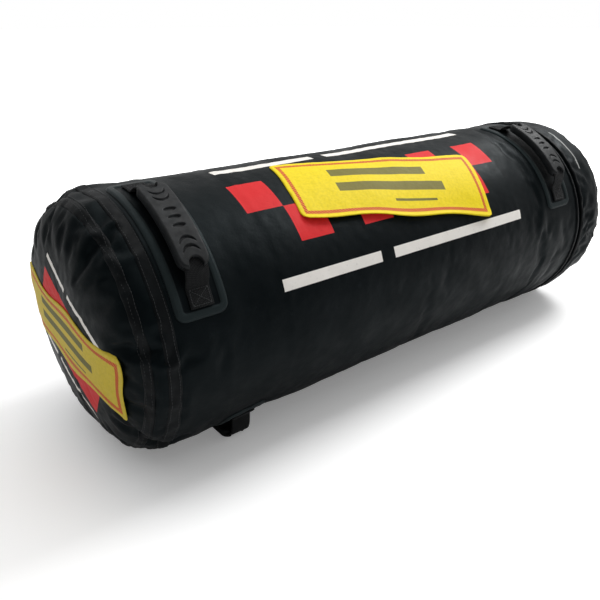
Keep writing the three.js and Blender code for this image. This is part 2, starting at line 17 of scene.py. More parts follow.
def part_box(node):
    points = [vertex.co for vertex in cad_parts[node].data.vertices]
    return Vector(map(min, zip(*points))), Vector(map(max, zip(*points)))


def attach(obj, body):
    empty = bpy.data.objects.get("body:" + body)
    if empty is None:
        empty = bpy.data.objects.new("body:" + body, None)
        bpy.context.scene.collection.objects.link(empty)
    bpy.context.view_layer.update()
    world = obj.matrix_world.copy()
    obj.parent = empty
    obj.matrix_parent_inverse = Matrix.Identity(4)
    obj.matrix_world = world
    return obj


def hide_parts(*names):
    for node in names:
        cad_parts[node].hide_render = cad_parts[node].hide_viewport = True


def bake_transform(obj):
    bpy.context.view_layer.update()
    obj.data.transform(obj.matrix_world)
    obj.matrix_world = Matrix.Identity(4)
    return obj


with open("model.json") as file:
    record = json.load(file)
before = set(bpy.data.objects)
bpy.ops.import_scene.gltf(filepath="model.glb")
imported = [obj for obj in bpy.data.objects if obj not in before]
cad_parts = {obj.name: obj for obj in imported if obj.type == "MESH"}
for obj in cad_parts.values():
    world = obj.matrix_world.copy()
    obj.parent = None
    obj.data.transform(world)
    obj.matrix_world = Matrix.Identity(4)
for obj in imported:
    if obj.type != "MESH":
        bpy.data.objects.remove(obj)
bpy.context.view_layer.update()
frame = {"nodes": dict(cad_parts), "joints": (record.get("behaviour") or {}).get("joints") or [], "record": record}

# ---- Sizes in metres and degrees ---------------------------------------------


def middle_of(name):
    low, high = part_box(name)
    return (low + high) / 2


ENDS = ("closed_end", "lid_end")

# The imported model
WALL_LOW, WALL_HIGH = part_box("tube_wall")
RADIUS = WALL_HIGH.y
AXIS_Z = WALL_HIGH.z - RADIUS
SHOULDER_SEAM_X = WALL_LOW.x
MOUTH_X = WALL_HIGH.x
DISC_SEAM_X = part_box("closed_end_disc")[1].x
CLOSED_END_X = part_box("closed_end_disc")[0].x
LID_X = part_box("lid_wall")[0].x
LID_SEAM_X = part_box("lid_wall")[1].x
LID_END_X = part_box("lid_disc")[1].x
ZIP_X = (MOUTH_X + LID_X) / 2
BELLY_HANDLE_X = [middle_of(f"belly_handle_{end}_patch").x for end in ENDS]
TOP_HANDLE_X = [middle_of(f"top_handle_{end}_patch").x for end in ENDS]

# The skin
CLOSED_REACH = 0.098  # how far each end rounds over
LID_REACH = 0.094
CLOSED_SHAPE = (4, 3)  # superellipse powers of the radius and of the travel
LID_SHAPE = (4, 3.5)
WALL_THICKNESS = 0.0016
COLUMNS = 216  # points around the bag
ROW_STEP = 0.0045  # spacing of the skin's rows along its outline
LEAN = 0.008  # the closed end leans out at its upper back
LEAN_ANGLE = 116
LID_GAP = 0.0055  # the lid's edge stands off the mouth at the front
LID_GAP_LENGTH = 0.045
POCKET_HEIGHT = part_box("belly_handle_closed_end_grip")[1].z + 0.0105
POCKET_HALF_WIDTH = 0.042
POCKET_EASE = 0.030
FLOOR_SOFTNESS = 0.0022  # rounds the edge of the flat that the bag rests on
STIFF_ANGLES = (38, 50)  # a top handle's patch stiffens the skin up to the first distance from
STIFF_LENGTHS = (0.034, 0.060)  # its middle, and less and less up to the second

# The cloth simulation
SIM_STEP = 0.0078  # spacing of the simulated cloth's points
SIM_COLUMNS = 144
SIM_FRAMES = 20
SIM_LIMIT = 0.016  # no point moves further than this
SIM_PUSH = 4  # pressure from inside
SIM_HUB = 0.022  # radius of the middle of each end that isn't simulated
TUBE_GROWTH = 0.006  # share by which the tube is cut too large
END_GROWTH = 0.06
SEAM_FIRMNESS = {SHOULDER_SEAM_X: 0.55, DISC_SEAM_X: 0.4, LID_SEAM_X: 0.4}

# Prints on the skin
HANDLE_ANGLE = 54.9  # the top handles and the prints are centred here
CHEQUER_START_X = -0.3037
CHEQUER_PITCH = 0.0567
CHEQUER_COLUMNS = 9
CHEQUER_ROW = 17.6  # degrees around the bag
LINE_START_X = -0.296
LINE_LENGTH = 0.512
WORD_ENDS = ((0.0, 0.34), (0.39, 1.0))  # shares of a printed line
LOW_LINE_ANGLE = 21.7
HIGH_LINE_ANGLE = 87.5
LINE_HALF_HEIGHT = 2.5  # degrees
END_PANEL = (-0.43, 0.51, -0.3, 0.29)  # left, right, low and high, as shares of the bag's radius
END_LINE = 0.42  # share of the radius from the middle of the end
END_LINE_HALF_HEIGHT = 0.02
LID_BAR_X = (0.4385, 0.4425)
LID_BAR_ANGLES = (38, 69)

# Labels
BODY_LABEL = {"length": 0.367, "height": 0.120, "corner": 0.010, "wave": 0.0022}
BODY_LABEL_X = -0.041
BODY_LABEL_TURN = math.radians(-10.5)
END_LABEL = {"length": 0.272, "height": 0.086, "corner": 0.009, "wave": 0.004}
END_LABEL_TURN = math.radians(25)
LABEL_BORDER = (0.0075, 0.0130)  # the stitched line's distance from the edge
LABEL_BARS = (  # low, high, start and end, as shares of the label's height and length
    (0.13, 0.27, -0.28, 0.2),
    (-0.13, 0.01, -0.28, 0.27),
    (-0.29, -0.255, -0.03, 0.2),
)

# Tapes, hems and stitches
SEAM_TAPE_HEIGHT = 0.0009
BINDING_HEIGHT = 0.0024
LAP_ANGLES = (205, 214)
LAP_HEIGHT = 0.0014
HEM_DEPTHS = (0.0025, 0.0055)  # of the fold's two faces, below the bag's outside
HEM_FLOORS = (0.0021, 0.0040)  # their lowest height, where the bag rests on its belly
RING_STITCH = (0.0044, 0.0008, 0.00035)  # pitch, width and height of a stitch
BOX_STITCH = (0.0030, 0.0009, 0.0004)
SEAM_STITCH_INSET = 0.0026
BINDING_STITCH_INSET = 0.0042
BINDING_STITCH_REACH = 148  # clear of the lid's hinge

# Zip
ZIP_RADIUS = 0.171
ZIP_END = 151  # the zip reaches this far to each side of the front
ZIP_TAPE_HALF_THICKNESS = 0.0005
TOOTH_PITCH = 0.0031
TOOTH_START = 0.0004  # a tooth's reach from the middle of the zip
TOOTH_LENGTH = 0.0036
SLIDER_ANGLE = 146.5
PULLER_EYE_RADIUS = 0.0026
PULLER_EYE_REACH = 0.026  # from the pin to the eye
CAST_EDGE = 0.00035
HINGE_HALF_ANGLE = 28
HINGE_LIFT = 0.0026  # underside above the bag's outside

# Carry handles
PATCH_LENGTH = 0.226
PATCH_WIDTH = 0.070
PATCH_CORNER = 0.014
PATCH_HIGHLIGHT_BAND = (0.0004, 0.0108)  # the painted highlight's distance from the edge: a lighter band over the raised rim
STRAP_WIDTH = 0.030
STRAP_THICKNESS = 0.0024
STRAP_REACH = 0.100  # half the strap's length between its sewn ends
STRAP_FOOT = 0.0034  # height of a foot's middle above the skin
GRIP_LENGTH = 0.130
GRIP_WIDTH = 0.039
GRIP_THICKNESS = 0.0125
GRIP_CORNER = 0.012
GRIP_HEIGHT = 0.011  # underside above the skin
GRIP_STEP = 0.00065
GRIP_TOP_FILLET = 0.0034
GRIP_UNDER_FILLET = 0.0026
STRAP_IN_GRIP = 0.0068
PASSAGE_HALF_HEIGHT = 0.0018
RELIEF_DEPTH = 0.0024
OVAL_CENTRES = (-0.011, 0.0, 0.011)
OVAL_HALF_WIDTH = 0.0078
OVAL_HALF_LENGTH = 0.0023
CRESCENT_CENTRES = (0.024, 0.034)
CRESCENT_RADIUS = 0.011
CRESCENT_INNER_RADIUS = 0.0125
KEYHOLE_RADIUS = 0.0089
KEYHOLE_INSET = 0.012

# Blanket
LAYER_PITCH = 0.0105
LAYER_HALF_THICKNESS = 0.0042
CORE_RADIUS = 0.016
BLANKET_END_INSET = 0.008
BAND_THICKNESS = 0.0018
LOOP_THICKNESS = 0.0022

# Camera, fitted to the photo's view
CAMERA_PLACE = (-0.729, -0.743, 0.5464)
CAMERA_DIRECTION = (0.5693, 0.7131, -0.4092)
CAMERA_LENS = 37.46  # millimetres, for a sensor of 36


# ---- Points around the bag -----------------------------------------------------


def radial(angle):
    """Unit vectors that point away from the bag's axis, for one angle or an array of them."""
    turn = np.radians(angle)
    return np.stack([np.zeros_like(turn), -np.cos(turn), np.sin(turn)], axis=-1)


def around(x, angle, radius):
    """Points at a place along the bag, an angle around it and a distance from its axis."""
    x, angle, radius = np.broadcast_arrays(x, angle, radius)
    point = radial(angle) * radius[..., None]
    point[..., 0] += x
    point[..., 2] += AXIS_Z
    return point


def angle_between(angle, centre):
    """The turn from one angle to another, from -180 to 180."""
    return (angle - centre + 180) % 360 - 180


def smooth(value, low, high):
    """A smooth step from 0 at low to 1 at high."""
    t = np.clip((value - low) / (high - low), 0, 1)
    return t * t * (3 - 2 * t)


def hump(value, centre, half_width):
    """A smooth rise from 0 to 1 and back, centred on a value."""
    return 1 - smooth(np.abs(value - centre), 0, half_width)


# ---- Meshes ------------------------------------------------------------------


def mesh_object(name, points, faces):
    mesh = bpy.data.meshes.new(name)
    mesh.from_pydata([tuple(p) for p in points], [], faces)
    mesh.update()
    mesh.shade_smooth()
    obj = bpy.data.objects.new(name, mesh)
    bpy.context.scene.collection.objects.link(obj)
    return obj


def grid_faces(rows, columns, closed_columns=False, start=0, flip=False):
    faces = []
    last = columns if closed_columns else columns - 1
    for i in range(rows - 1):
        for j in range(last):
            k = (j + 1) % columns
            face = [start + i * columns + j, start + i * columns + k]
            face += [start + (i + 1) * columns + k, start + (i + 1) * columns + j]
            faces.append(face[::-1] if flip else face)
    return faces


def slab(name, top, bottom, closed_columns=False):
    """A closed sheet between two grids of points, whose rows may each close on themselves."""
    rows, columns = top.shape[:2]
    count = rows * columns
    points = np.concatenate([top.reshape(-1, 3), bottom.reshape(-1, 3)])
    faces = grid_faces(rows, columns, closed_columns)
    faces += grid_faces(rows, columns, closed_columns, start=count, flip=True)
    last = columns if closed_columns else columns - 1
    for j in range(last):
        k = (j + 1) % columns
        end = (rows - 1) * columns
        faces.append([k, j, count + j, count + k])
        faces.append([end + j, end + k, count + end + k, count + end + j])
    if not closed_columns:
        for i in range(rows - 1):
            a, b = i * columns, (i + 1) * columns
            faces.append([a, b, count + b, count + a])
            a, b = a + columns - 1, b + columns - 1
            faces.append([b, a, count + a, count + b])
    return face_outwards(mesh_object(name, points, faces))


def face_outwards(obj):
    """Joins points that coincide, and turns all faces to the outside."""
    work = bmesh.new()
    work.from_mesh(obj.data)
    bmesh.ops.remove_doubles(work, verts=work.verts, dist=1e-7)
    bmesh.ops.recalc_face_normals(work, faces=work.faces)
    work.to_mesh(obj.data)
    work.free()
    return obj


def end_caps(start, rows, columns):
    """The two faces that close a tube of rings."""
    end = start + (rows - 1) * columns
    return [[start + j for j in range(columns)][::-1], [end + j for j in range(columns)]]


def add_tube(points, faces, rings):
    """Adds a short closed tube, given as rings of points."""
    rows, columns = len(rings), len(rings[0])
    faces += grid_faces(rows, columns, True, start=len(points))
    faces += end_caps(len(points), rows, columns)
    points += [point for ring in rings for point in ring]


def tube_along(name, path, profile, closed=False):
    """Sweeps a closed profile of (side, up) offsets along rows of (point, side, up) frames."""
    rows = []
    for point, side, up in path:
        rows.append([Vector(point) + Vector(side) * a + Vector(up) * b for a, b in profile])
    count = len(profile)
    points = [p for row in rows for p in row]
    faces = grid_faces(len(rows), count, True)
    if closed:
        end = (len(rows) - 1) * count
        for j in range(count):
            k = (j + 1) % count
            faces.append([end + j, end + k, k, j])
    else:
        faces += end_caps(0, len(rows), count)
    return face_outwards(mesh_object(name, points, faces))


def rounded_bar(width, height, corner, steps=4):
    """The closed profile of a bar with rounded corners, centred on its middle."""
    profile = []
    for quarter, (sx, sy) in enumerate([(1, 1), (-1, 1), (-1, -1), (1, -1)]):
        for i in range(steps + 1):
            turn = math.radians(90 * quarter + 90 * i / steps)
            x = sx * (width / 2 - corner) + corner * math.cos(turn)
            y = sy * (height / 2 - corner) + corner * math.sin(turn)
            profile.append((x, y))
    return profile


def set_uv(obj, coordinates):
    """Stores one (u, v) pair per vertex, in metres."""
    layer = obj.data.uv_layers.new(name="UVMap")
    for loop in obj.data.loops:
        layer.data[loop.index].uv = coordinates[loop.vertex_index]


def search_tree(points):
    tree = kdtree.KDTree(len(points))
    for i, point in enumerate(points):
        tree.insert(point, i)
    tree.balance()
    return tree


def nearest_uv(obj, grid, pairs):
    """Gives each vertex the (u, v) pair of the grid point that it is nearest to."""
    pairs = pairs.reshape(-1, 2)
    tree = search_tree(grid.reshape(-1, 3))
    set_uv(obj, [tuple(pairs[tree.find(vertex.co)[1]]) for vertex in obj.data.vertices])


# ---- Materials ---------------------------------------------------------------


def linear(red, green, blue):
    """A colour given as 0 to 255 screen values, as the linear values that shaders take."""
    values = [v / 255 for v in (red, green, blue)]
    return tuple(v / 12.92 if v <= 0.04045 else ((v + 0.055) / 1.055) ** 2.4 for v in values) + (1,)


def darker(colour, share):
    return tuple(share * v for v in colour[:3]) + (1,)


class Graph:
    """Short names for the nodes of one material."""

    def __init__(self, name, roughness=0.5, metallic=0.0):
        self.material = bpy.data.materials.new(name)
        self.material.use_nodes = True
        self.tree = self.material.node_tree
        self.surface = next(n for n in self.tree.nodes if n.type == "BSDF_PRINCIPLED")
        self.set("Roughness", roughness)
        self.set("Metallic", metallic)

    def set(self, name, value):
        self.put(self.surface.inputs[name], value)

    def put(self, socket, value):
        """Links a node's output to the socket, or sets the socket to a plain value."""
        if isinstance(value, bpy.types.NodeSocket):
            self.tree.links.new(value, socket)
        else:
            socket.default_value = value

    def node(self, kind, **settings):
        made = self.tree.nodes.new(kind)
        for key, value in settings.items():
            setattr(made, key, value)
        return made

    def math(self, operation, *values):
        made = self.node("ShaderNodeMath", operation=operation)
        for socket, value in zip(made.inputs, values):
            self.put(socket, value)
        return made.outputs[0]

    def length(self, a, b):
        """The distance that two offsets at right angles make up."""
        squares = self.math("ADD", self.math("MULTIPLY", a, a), self.math("MULTIPLY", b, b))
        return self.math("SQRT", squares)

    def position(self):
        """The x, y and z of the point, in the frame at rest."""
        split = self.node("ShaderNodeSeparateXYZ")
        self.put(split.inputs[0], self.node("ShaderNodeTexCoord").outputs["Object"])
        return split.outputs

    def uv(self):
        split = self.node("ShaderNodeSeparateXYZ")
        self.put(split.inputs[0], self.node("ShaderNodeTexCoord").outputs["UV"])
        return split.outputs

    def noise(self, scale, detail=4, roughness=0.55, stretch=(1, 1, 1), source="Object"):
        mapping = self.node("ShaderNodeMapping")
        self.put(mapping.inputs["Vector"], self.node("ShaderNodeTexCoord").outputs[source])
        mapping.inputs["Scale"].default_value = stretch
        made = self.node("ShaderNodeTexNoise")
        self.put(made.inputs["Vector"], mapping.outputs[0])
        made.inputs["Scale"].default_value = scale
        made.inputs["Detail"].default_value = detail
        made.inputs["Roughness"].default_value = roughness
        return made.outputs[0]

    def range(self, value, low, high, to_low=0.0, to_high=1.0):
        """Maps low to high on to two other values, with a smooth step between them."""
        made = self.node("ShaderNodeMapRange", interpolation_type="SMOOTHSTEP")
        self.put(made.inputs[0], value)
        for socket, number in zip(list(made.inputs)[1:5], (low, high, to_low, to_high)):
            self.put(socket, number)
        return made.outputs[0]

    def uneven_roughness(self, noise, low, high):
        self.set("Roughness", self.range(noise, 0.3, 0.7, low, high))

    def within(self, value, low, high):
        """1 where the value lies between low and high, 0 elsewhere."""
        above = self.math("GREATER_THAN", value, low)
        return self.math("MULTIPLY", above, self.math("LESS_THAN", value, high))

    def mix(self, factor, first, second):
        made = self.node("ShaderNodeMix", data_type="RGBA")
        self.put(made.inputs[0], factor)
        self.put(made.inputs[6], first)
        self.put(made.inputs[7], second)
        return made.outputs[2]

    def wave(self, value, pitch):
        return self.math("SINE", self.math("MULTIPLY", value, 2 * math.pi / pitch))

    def bump(self, *heights):
        """Adds (height, depth in metres) pairs to the surface's normal."""
        normal = None
        for height, depth in heights:
            made = self.node("ShaderNodeBump")
            made.inputs["Distance"].default_value = depth
            self.put(made.inputs["Height"], height)
            if normal is not None:
                self.put(made.inputs["Normal"], normal)
            normal = made.outputs[0]
        self.set("Normal", normal)

    def angle_and_radius(self):
        """The angle around the bag in degrees, and the distance from its axis."""
        _, y, z = self.position()
        rise = self.math("SUBTRACT", z, AXIS_Z)
        front = self.math("MULTIPLY", y, -1.0)
        angle = self.math("DEGREES", self.math("ARCTAN2", rise, front))
        return angle, self.length(y, rise)


def weave_height(g, across, along, pitch):
    """A plain weave: the two yarns rise in turn."""
    return g.math("MULTIPLY", g.wave(across, pitch), g.wave(along, pitch))


COOL = (0.7, 0.93, 1.0, 1)
BLACK_FABRIC = linear(7, 11, 13)
PRINT_WHITE = linear(236, 232, 226)
PRINT_RED = linear(214, 46, 48)


def coated_fabric(name, prints=None, base=BLACK_FABRIC, roughness=0.47):
    """Black coated fabric with a faint weave, soft creases, scuffs and an optional print."""
    g = Graph(name)
    patches = g.range(g.noise(9, 5), 0.3, 0.75)
    colour = g.mix(patches, darker(base, 0.78), base)
    dust = g.range(g.noise(55, 8, 0.7), 0.56, 0.8, 0, 0.35)
    colour = g.mix(dust, colour, linear(30, 36, 38))
    if prints:
        for mask, ink in prints(g):
            worn = g.math("MULTIPLY", mask, g.range(g.noise(160, 6, 0.7), 0.25, 0.42, 0.7, 1.0))
            colour = g.mix(worn, colour, ink)
    g.set("Base Color", colour)
    g.uneven_roughness(g.noise(24, 5, 0.6), roughness - 0.07, roughness + 0.1)
    g.set("Specular IOR Level", 0.075)
    g.set("Specular Tint", COOL)
    x, y, z = g.position()
    weave = weave_height(g, x, g.math("ADD", y, z), 0.0018)
    g.bump((weave, 0.00003), (g.noise(420, 3), 0.00006), (g.noise(38, 4), 0.0009))
    return g.material


def tube_prints(g):
    """Red chequers in two rows, with a broken white bar above and below them."""
    x = g.position()[0]
    angle, _ = g.angle_and_radius()
    column = g.math("FLOOR", g.math("DIVIDE", g.math("SUBTRACT", x, CHEQUER_START_X), CHEQUER_PITCH))
    row = g.math("FLOOR", g.math("DIVIDE", g.math("SUBTRACT", angle, HANDLE_ANGLE), CHEQUER_ROW))
    parity = g.math("MODULO", g.math("ADD", g.math("ADD", column, row), 20.0), 2.0)
    inside = g.math(
        "MULTIPLY",
        g.within(column, -0.5, CHEQUER_COLUMNS - 0.5),
        g.within(row, -1.5, 0.5),
    )
    yield g.math("MULTIPLY", inside, g.within(parity, -0.5, 0.5)), PRINT_RED
    for middle in (LOW_LINE_ANGLE, HIGH_LINE_ANGLE):
        for start, end in WORD_ENDS:
            span = g.within(x, LINE_START_X + start * LINE_LENGTH, LINE_START_X + end * LINE_LENGTH)
            height = g.within(angle, middle - LINE_HALF_HEIGHT, middle + LINE_HALF_HEIGHT)
            yield g.math("MULTIPLY", span, height), PRINT_WHITE


def end_axes(g):
    """Distances across the closed end: to the side, and up towards the top handles."""
    _, y, z = g.position()
    rise = g.math("SUBTRACT", z, AXIS_Z)
    turn = math.radians(HANDLE_ANGLE)

    def along(y_share, z_share):
        return g.math("ADD", g.math("MULTIPLY", y, y_share), g.math("MULTIPLY", rise, z_share))

    side = along(-math.sin(turn), -math.cos(turn))
    up = along(-math.cos(turn), math.sin(turn))
    return side, up


def end_prints(g):
    """A red panel across the closed end, with a broken white bar above and below it."""
    side, up = end_axes(g)
    left, right, low, high = (share * RADIUS for share in END_PANEL)
    yield g.math("MULTIPLY", g.within(side, left, right), g.within(up, low, high)), PRINT_RED
    half = END_LINE_HALF_HEIGHT * RADIUS
    for middle in (-END_LINE * RADIUS, END_LINE * RADIUS):
        for start, end in WORD_ENDS:
            span = g.within(side, left + start * (right - left), left + end * (right - left))
            height = g.within(up, middle - half, middle + half)
            yield g.math("MULTIPLY", span, height), PRINT_WHITE


def lid_prints(g):
    """A thin grey bar."""
    x = g.position()[0]
    angle, _ = g.angle_and_radius()
    bar = g.math("MULTIPLY", g.within(x, *LID_BAR_X), g.within(angle, *LID_BAR_ANGLES))
    yield bar, linear(150, 152, 150)


def patch_rim_highlight(g):
    """The welded rim is painted lighter grey than the rest of its patch, a painted highlight on the raised rim."""
    edge = g.uv()[0]
    # painted highlight: the band over the raised rim is coloured lighter grey
    yield g.within(edge, *PATCH_HIGHLIGHT_BAND), linear(34, 40, 41)


def seam_tape():
    """Coated tape with a row of fine ribs that run across it."""
    g = Graph("seam_tape")
    angle, _ = g.angle_and_radius()
    rubbed = g.range(g.noise(60, 5), 0.4, 0.7)
    g.set("Base Color", g.mix(rubbed, linear(7, 10, 12), linear(14, 18, 20)))
    g.uneven_roughness(g.noise(90, 4), 0.42, 0.55)
    g.set("Specular IOR Level", 0.1)
    g.bump((g.wave(angle, 0.5), 0.00003), (g.noise(300, 3), 0.0001))
    return g.material


def webbing():
    """Woven webbing: yarns slant two ways between its edges."""
    g = Graph("webbing", roughness=0.82)
    along, across, _ = g.uv()
    slant = g.math("ADD", along, g.math("ABSOLUTE", across))
    ribs = g.wave(slant, 0.0021)
    yarns = g.wave(across, 0.0017)
    shade = g.range(g.math("ADD", ribs, g.noise(700, 3, source="UV")), -0.6, 1.6)
    g.set("Base Color", g.mix(shade, linear(2, 3, 5), linear(11, 13, 15)))
    g.set("Specular IOR Level", 0.2)
    g.set("Sheen Weight", 0.04)
    g.bump((ribs, 0.00022), (yarns, 0.00016))
    return g.material


def moulded_rubber():
    """Matt moulded rubber with a fine spark-eroded grain and rubbed high spots."""
    g = Graph("moulded_rubber")
    g.set("Specular IOR Level", 0.25)
    colour = g.mix(g.range(g.noise(90, 5), 0.35, 0.7), linear(10, 13, 15), linear(19, 23, 25))
    g.set("Base Color", colour)
    g.uneven_roughness(g.noise(150, 5), 0.5, 0.66)
    g.bump((g.noise(1500, 2), 0.0001))
    return g.material


LABEL_YELLOW = linear(240, 214, 8)
# painted shade: a darker ochre copy of the label yellow, for the label on the shaded closed end
LABEL_SHADED_YELLOW = linear(214, 190, 60)
LABEL_RED = linear(205, 42, 46)
LABEL_GREY = linear(74, 78, 50)


def label_material(name, size, yellow):
    """Yellow film with a red stitched border and plain bars where a notice would be."""
    g = Graph(name)
    length, height = size["length"], size["height"]
    u, v, _ = g.uv()
    from_end = g.math("SUBTRACT", length / 2, g.math("ABSOLUTE", u))
    from_side = g.math("SUBTRACT", height / 2, g.math("ABSOLUTE", v))
    edge = g.math("MINIMUM", from_end, from_side)
    line = g.within(edge, *LABEL_BORDER)
    weave = weave_height(g, u, v, 0.0022)
    mottle = g.noise(240, 4, source="UV")
    colour = g.mix(g.range(mottle, 0.35, 0.7, 0, 0.5), yellow, darker(yellow, 0.8))
    twist = g.wave(g.math("ADD", u, v), 0.0052)
    thread = g.math("MULTIPLY", line, g.range(twist, -0.75, -0.2, 0.35, 1.0))
    colour = g.mix(thread, colour, LABEL_RED)
    for low, high, start, end in LABEL_BARS:
        across = g.within(v, low * height, high * height)
        bar = g.math("MULTIPLY", g.within(u, start * length, end * length), across)
        colour = g.mix(g.math("MULTIPLY", bar, 0.85), colour, LABEL_GREY)
    g.set("Base Color", colour)
    g.set("Roughness", 0.6)
    g.set("Specular IOR Level", 0.2)
    g.bump((weave, 0.00005), (thread, 0.0006), (g.noise(60, 4, source="UV"), 0.0012))
    return g.material


def zip_cloth():
    """Dark woven tape."""
    g = Graph("zip_cloth", roughness=0.85)
    x = g.position()[0]
    angle, _ = g.angle_and_radius()
    ribs = weave_height(g, x, g.math("MULTIPLY", angle, math.radians(RADIUS)), 0.0014)
    g.set("Base Color", g.mix(g.range(ribs, -1, 1), linear(16, 17, 18), linear(30, 32, 33)))
    g.bump((ribs, 0.0001))
    return g.material


def zip_nylon():
    """Smooth grey moulded nylon."""
    g = Graph("zip_nylon", roughness=0.36)
    g.set("Base Color", g.mix(g.noise(900, 2), linear(28, 30, 31), linear(46, 48, 50)))
    g.bump((g.noise(1200, 2), 0.00003))
    return g.material


def zip_enamel():
    """Black enamelled metal, worn through to the bare metal in places."""
    g = Graph("zip_enamel")
    worn = g.range(g.noise(420, 6, 0.7), 0.6, 0.7)
    g.set("Base Color", g.mix(worn, linear(30, 31, 33), linear(150, 150, 148)))
    g.set("Metallic", g.range(worn, 0, 1, 0.35, 1.0))
    g.uneven_roughness(g.noise(200, 4), 0.25, 0.45)
    g.bump((g.noise(900, 3), 0.00003))
    return g.material


def blanket_cloth():
    """Coarse grey glass-fibre weave."""
    g = Graph("blanket_cloth", roughness=0.78)
    along, across, _ = g.uv()
    yarns = weave_height(g, along, across, 0.0024)
    shade = g.range(g.math("ADD", yarns, g.noise(60, 5, source="UV")), -0.4, 1.4)
    g.set("Base Color", g.mix(shade, linear(118, 120, 114), linear(164, 165, 156)))
    g.set("Sheen Weight", 0.2)
    g.bump((yarns, 0.0003), (g.noise(45, 4, source="UV"), 0.002))
    return g.material


def blanket_webbing():
    """Red webbing with slanting yarns."""
    g = Graph("blanket_webbing", roughness=0.8)
    along, across, _ = g.uv()
    ribs = g.wave(g.math("ADD", along, g.math("ABSOLUTE", across)), 0.0024)
    g.set("Base Color", g.mix(g.range(ribs, -1, 1), linear(140, 34, 28), linear(196, 60, 46)))
    g.bump((ribs, 0.0003), (g.wave(across, 0.002), 0.0002))
    return g.material


def thread_material():
    """Dark sewing thread."""
    g = Graph("thread", roughness=0.6)
    g.set("Base Color", g.mix(g.noise(900, 2), linear(16, 19, 21), linear(34, 38, 40)))
    g.bump((g.noise(2500, 2), 0.00008))
    return g.material


SEAM_TAPE = seam_tape()
WEBBING = webbing()
RUBBER = moulded_rubber()
THREAD = thread_material()
PATCH_FABRIC = coated_fabric("patch_fabric", patch_rim_highlight, base=linear(9, 12, 14), roughness=0.4)
ZIP_CLOTH = zip_cloth()
ZIP_NYLON = zip_nylon()
ZIP_ENAMEL = zip_enamel()
BLANKET_CLOTH = blanket_cloth()
BLANKET_WEBBING = blanket_webbing()

# ---- How a piece joins the frame ---------------------------------------------

BODIES = {n: body for body, nodes in frame["record"]["behaviour"]["bodies"].items() for n in nodes}


def paint(obj, material):
    obj.data.materials.clear()
    obj.data.materials.append(material)
    return obj


def stand_for(obj, material, *nodes, bends=False):
    """Puts a piece in place of its CAD nodes, on their body unless it bends between two."""
    paint(obj, material)
    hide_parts(*nodes)
    if not bends:
        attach(obj, BODIES[nodes[0]])
    return obj


# ---- The bag's skin ----------------------------------------------------------


def outline(start_x, reach, shape, direction):
    """Points (x, radius) from where an end starts to round over, to its middle."""
    square, blunt = shape
    turn = np.linspace(0, math.pi / 2, 400)
    radius = RADIUS * np.cos(turn) ** (2 / square)
    travel = reach * np.sin(turn) ** (2 / blunt)
    radius[-1] = 0
    return np.stack([start_x + direction * travel, radius], axis=1)


def travelled(points):
    """The distance along a line to each of its points."""
    return np.r_[0, np.cumsum(np.linalg.norm(np.diff(points, axis=0), axis=1))]


def with_travel(points):
    return np.column_stack([points, travelled(points)])


CLOSED_START_X = CLOSED_END_X + CLOSED_REACH
LID_START_X = LID_END_X - LID_REACH
CLOSED_OUTLINE = outline(CLOSED_START_X, CLOSED_REACH, CLOSED_SHAPE, -1)
LID_OUTLINE = outline(LID_START_X, LID_REACH, LID_SHAPE, 1)
BAG_LINE = with_travel(np.concatenate([CLOSED_OUTLINE[::-1], [[MOUTH_X, RADIUS]]]))
LID_LINE = with_travel(np.concatenate([[[LID_X, RADIUS]], LID_OUTLINE]))


def rows_between(line, x0, x1, step):
    """Rows (x, radius, travel) at an even spacing between two x values."""
    ends = np.interp([x0, x1], line[:, 0], line[:, 2])
    travel = np.linspace(*ends, max(2, round((ends[1] - ends[0]) / step) + 1))
    return np.stack([np.interp(travel, line[:, 2], line[:, k]) for k in range(3)], axis=1)


STRETCHES = {
    "closed_end_disc": (BAG_LINE, CLOSED_END_X, DISC_SEAM_X),
    "closed_end_shoulder": (BAG_LINE, DISC_SEAM_X, SHOULDER_SEAM_X),
    "tube_wall": (BAG_LINE, SHOULDER_SEAM_X, MOUTH_X),
    "lid_wall": (LID_LINE, LID_X, LID_SEAM_X),
    "lid_disc": (LID_LINE, LID_SEAM_X, LID_END_X),
}
ANGLES = np.arange(COLUMNS) * 360 / COLUMNS


def floor_height(x):
    """The bag rests on the ground, and arches over its two belly handles."""
    height = np.zeros_like(x)
    for centre in BELLY_HANDLE_X:
        away = np.abs(x - centre)
        height += POCKET_HEIGHT * (1 - smooth(away, POCKET_HALF_WIDTH, POCKET_HALF_WIDTH + POCKET_EASE))
    return height


def lumps(points, scale, strength, seed):
    """Soft unevenness, as one signed height per point."""
    shift = Vector((seed * 3.7, seed * 1.3, seed * 2.1))
    flat = [noise.noise(Vector(p) / scale + shift) for p in points.reshape(-1, 3)]
    return strength * np.array(flat).reshape(points.shape[:-1])


def looseness(x, angle):
    """How free the skin is to move, from 1 down to almost 0 under the stiff handle patches."""
    beside = 1 - smooth(np.abs(angle_between(angle, HANDLE_ANGLE)), *STIFF_ANGLES)
    under = 0
    for centre in TOP_HANDLE_X:
        under = np.maximum(under, beside * (1 - smooth(np.abs(x - centre), *STIFF_LENGTHS)))
    return 1 - 0.95 * under


def base_points(line, angles=ANGLES):
    """Where the filled skin would lie, as rows of points for (x, radius, travel) rows."""
    x, angle, radius = np.broadcast_arrays(line[:, :1], angles, line[:, 1:2])
    points = around(x, angle, radius)
    full = radius / RADIUS
    relief = lumps(points, 0.13, 0.0022, 1) + lumps(points, 0.05, 0.0008, 2)
    points += radial(angle) * (relief * full * looseness(x, angle))[..., None]
    end_share = smooth(CLOSED_START_X + 0.03 - x, 0, CLOSED_REACH)
    points[..., 0] -= end_share * LEAN * full * np.cos(np.radians(angle - LEAN_ANGLE))
    points[..., 0] += lid_gap(x, angle)
    return points


def lid_gap(x, angle):
    """The lid's edge stands off the mouth at the front, where the zip is strained."""
    at_edge = (x >= LID_X - 1e-6) * (1 - smooth(x, LID_X, LID_X + LID_GAP_LENGTH))
    return LID_GAP * at_edge * hump(angle_between(angle, -4), 0, 17)


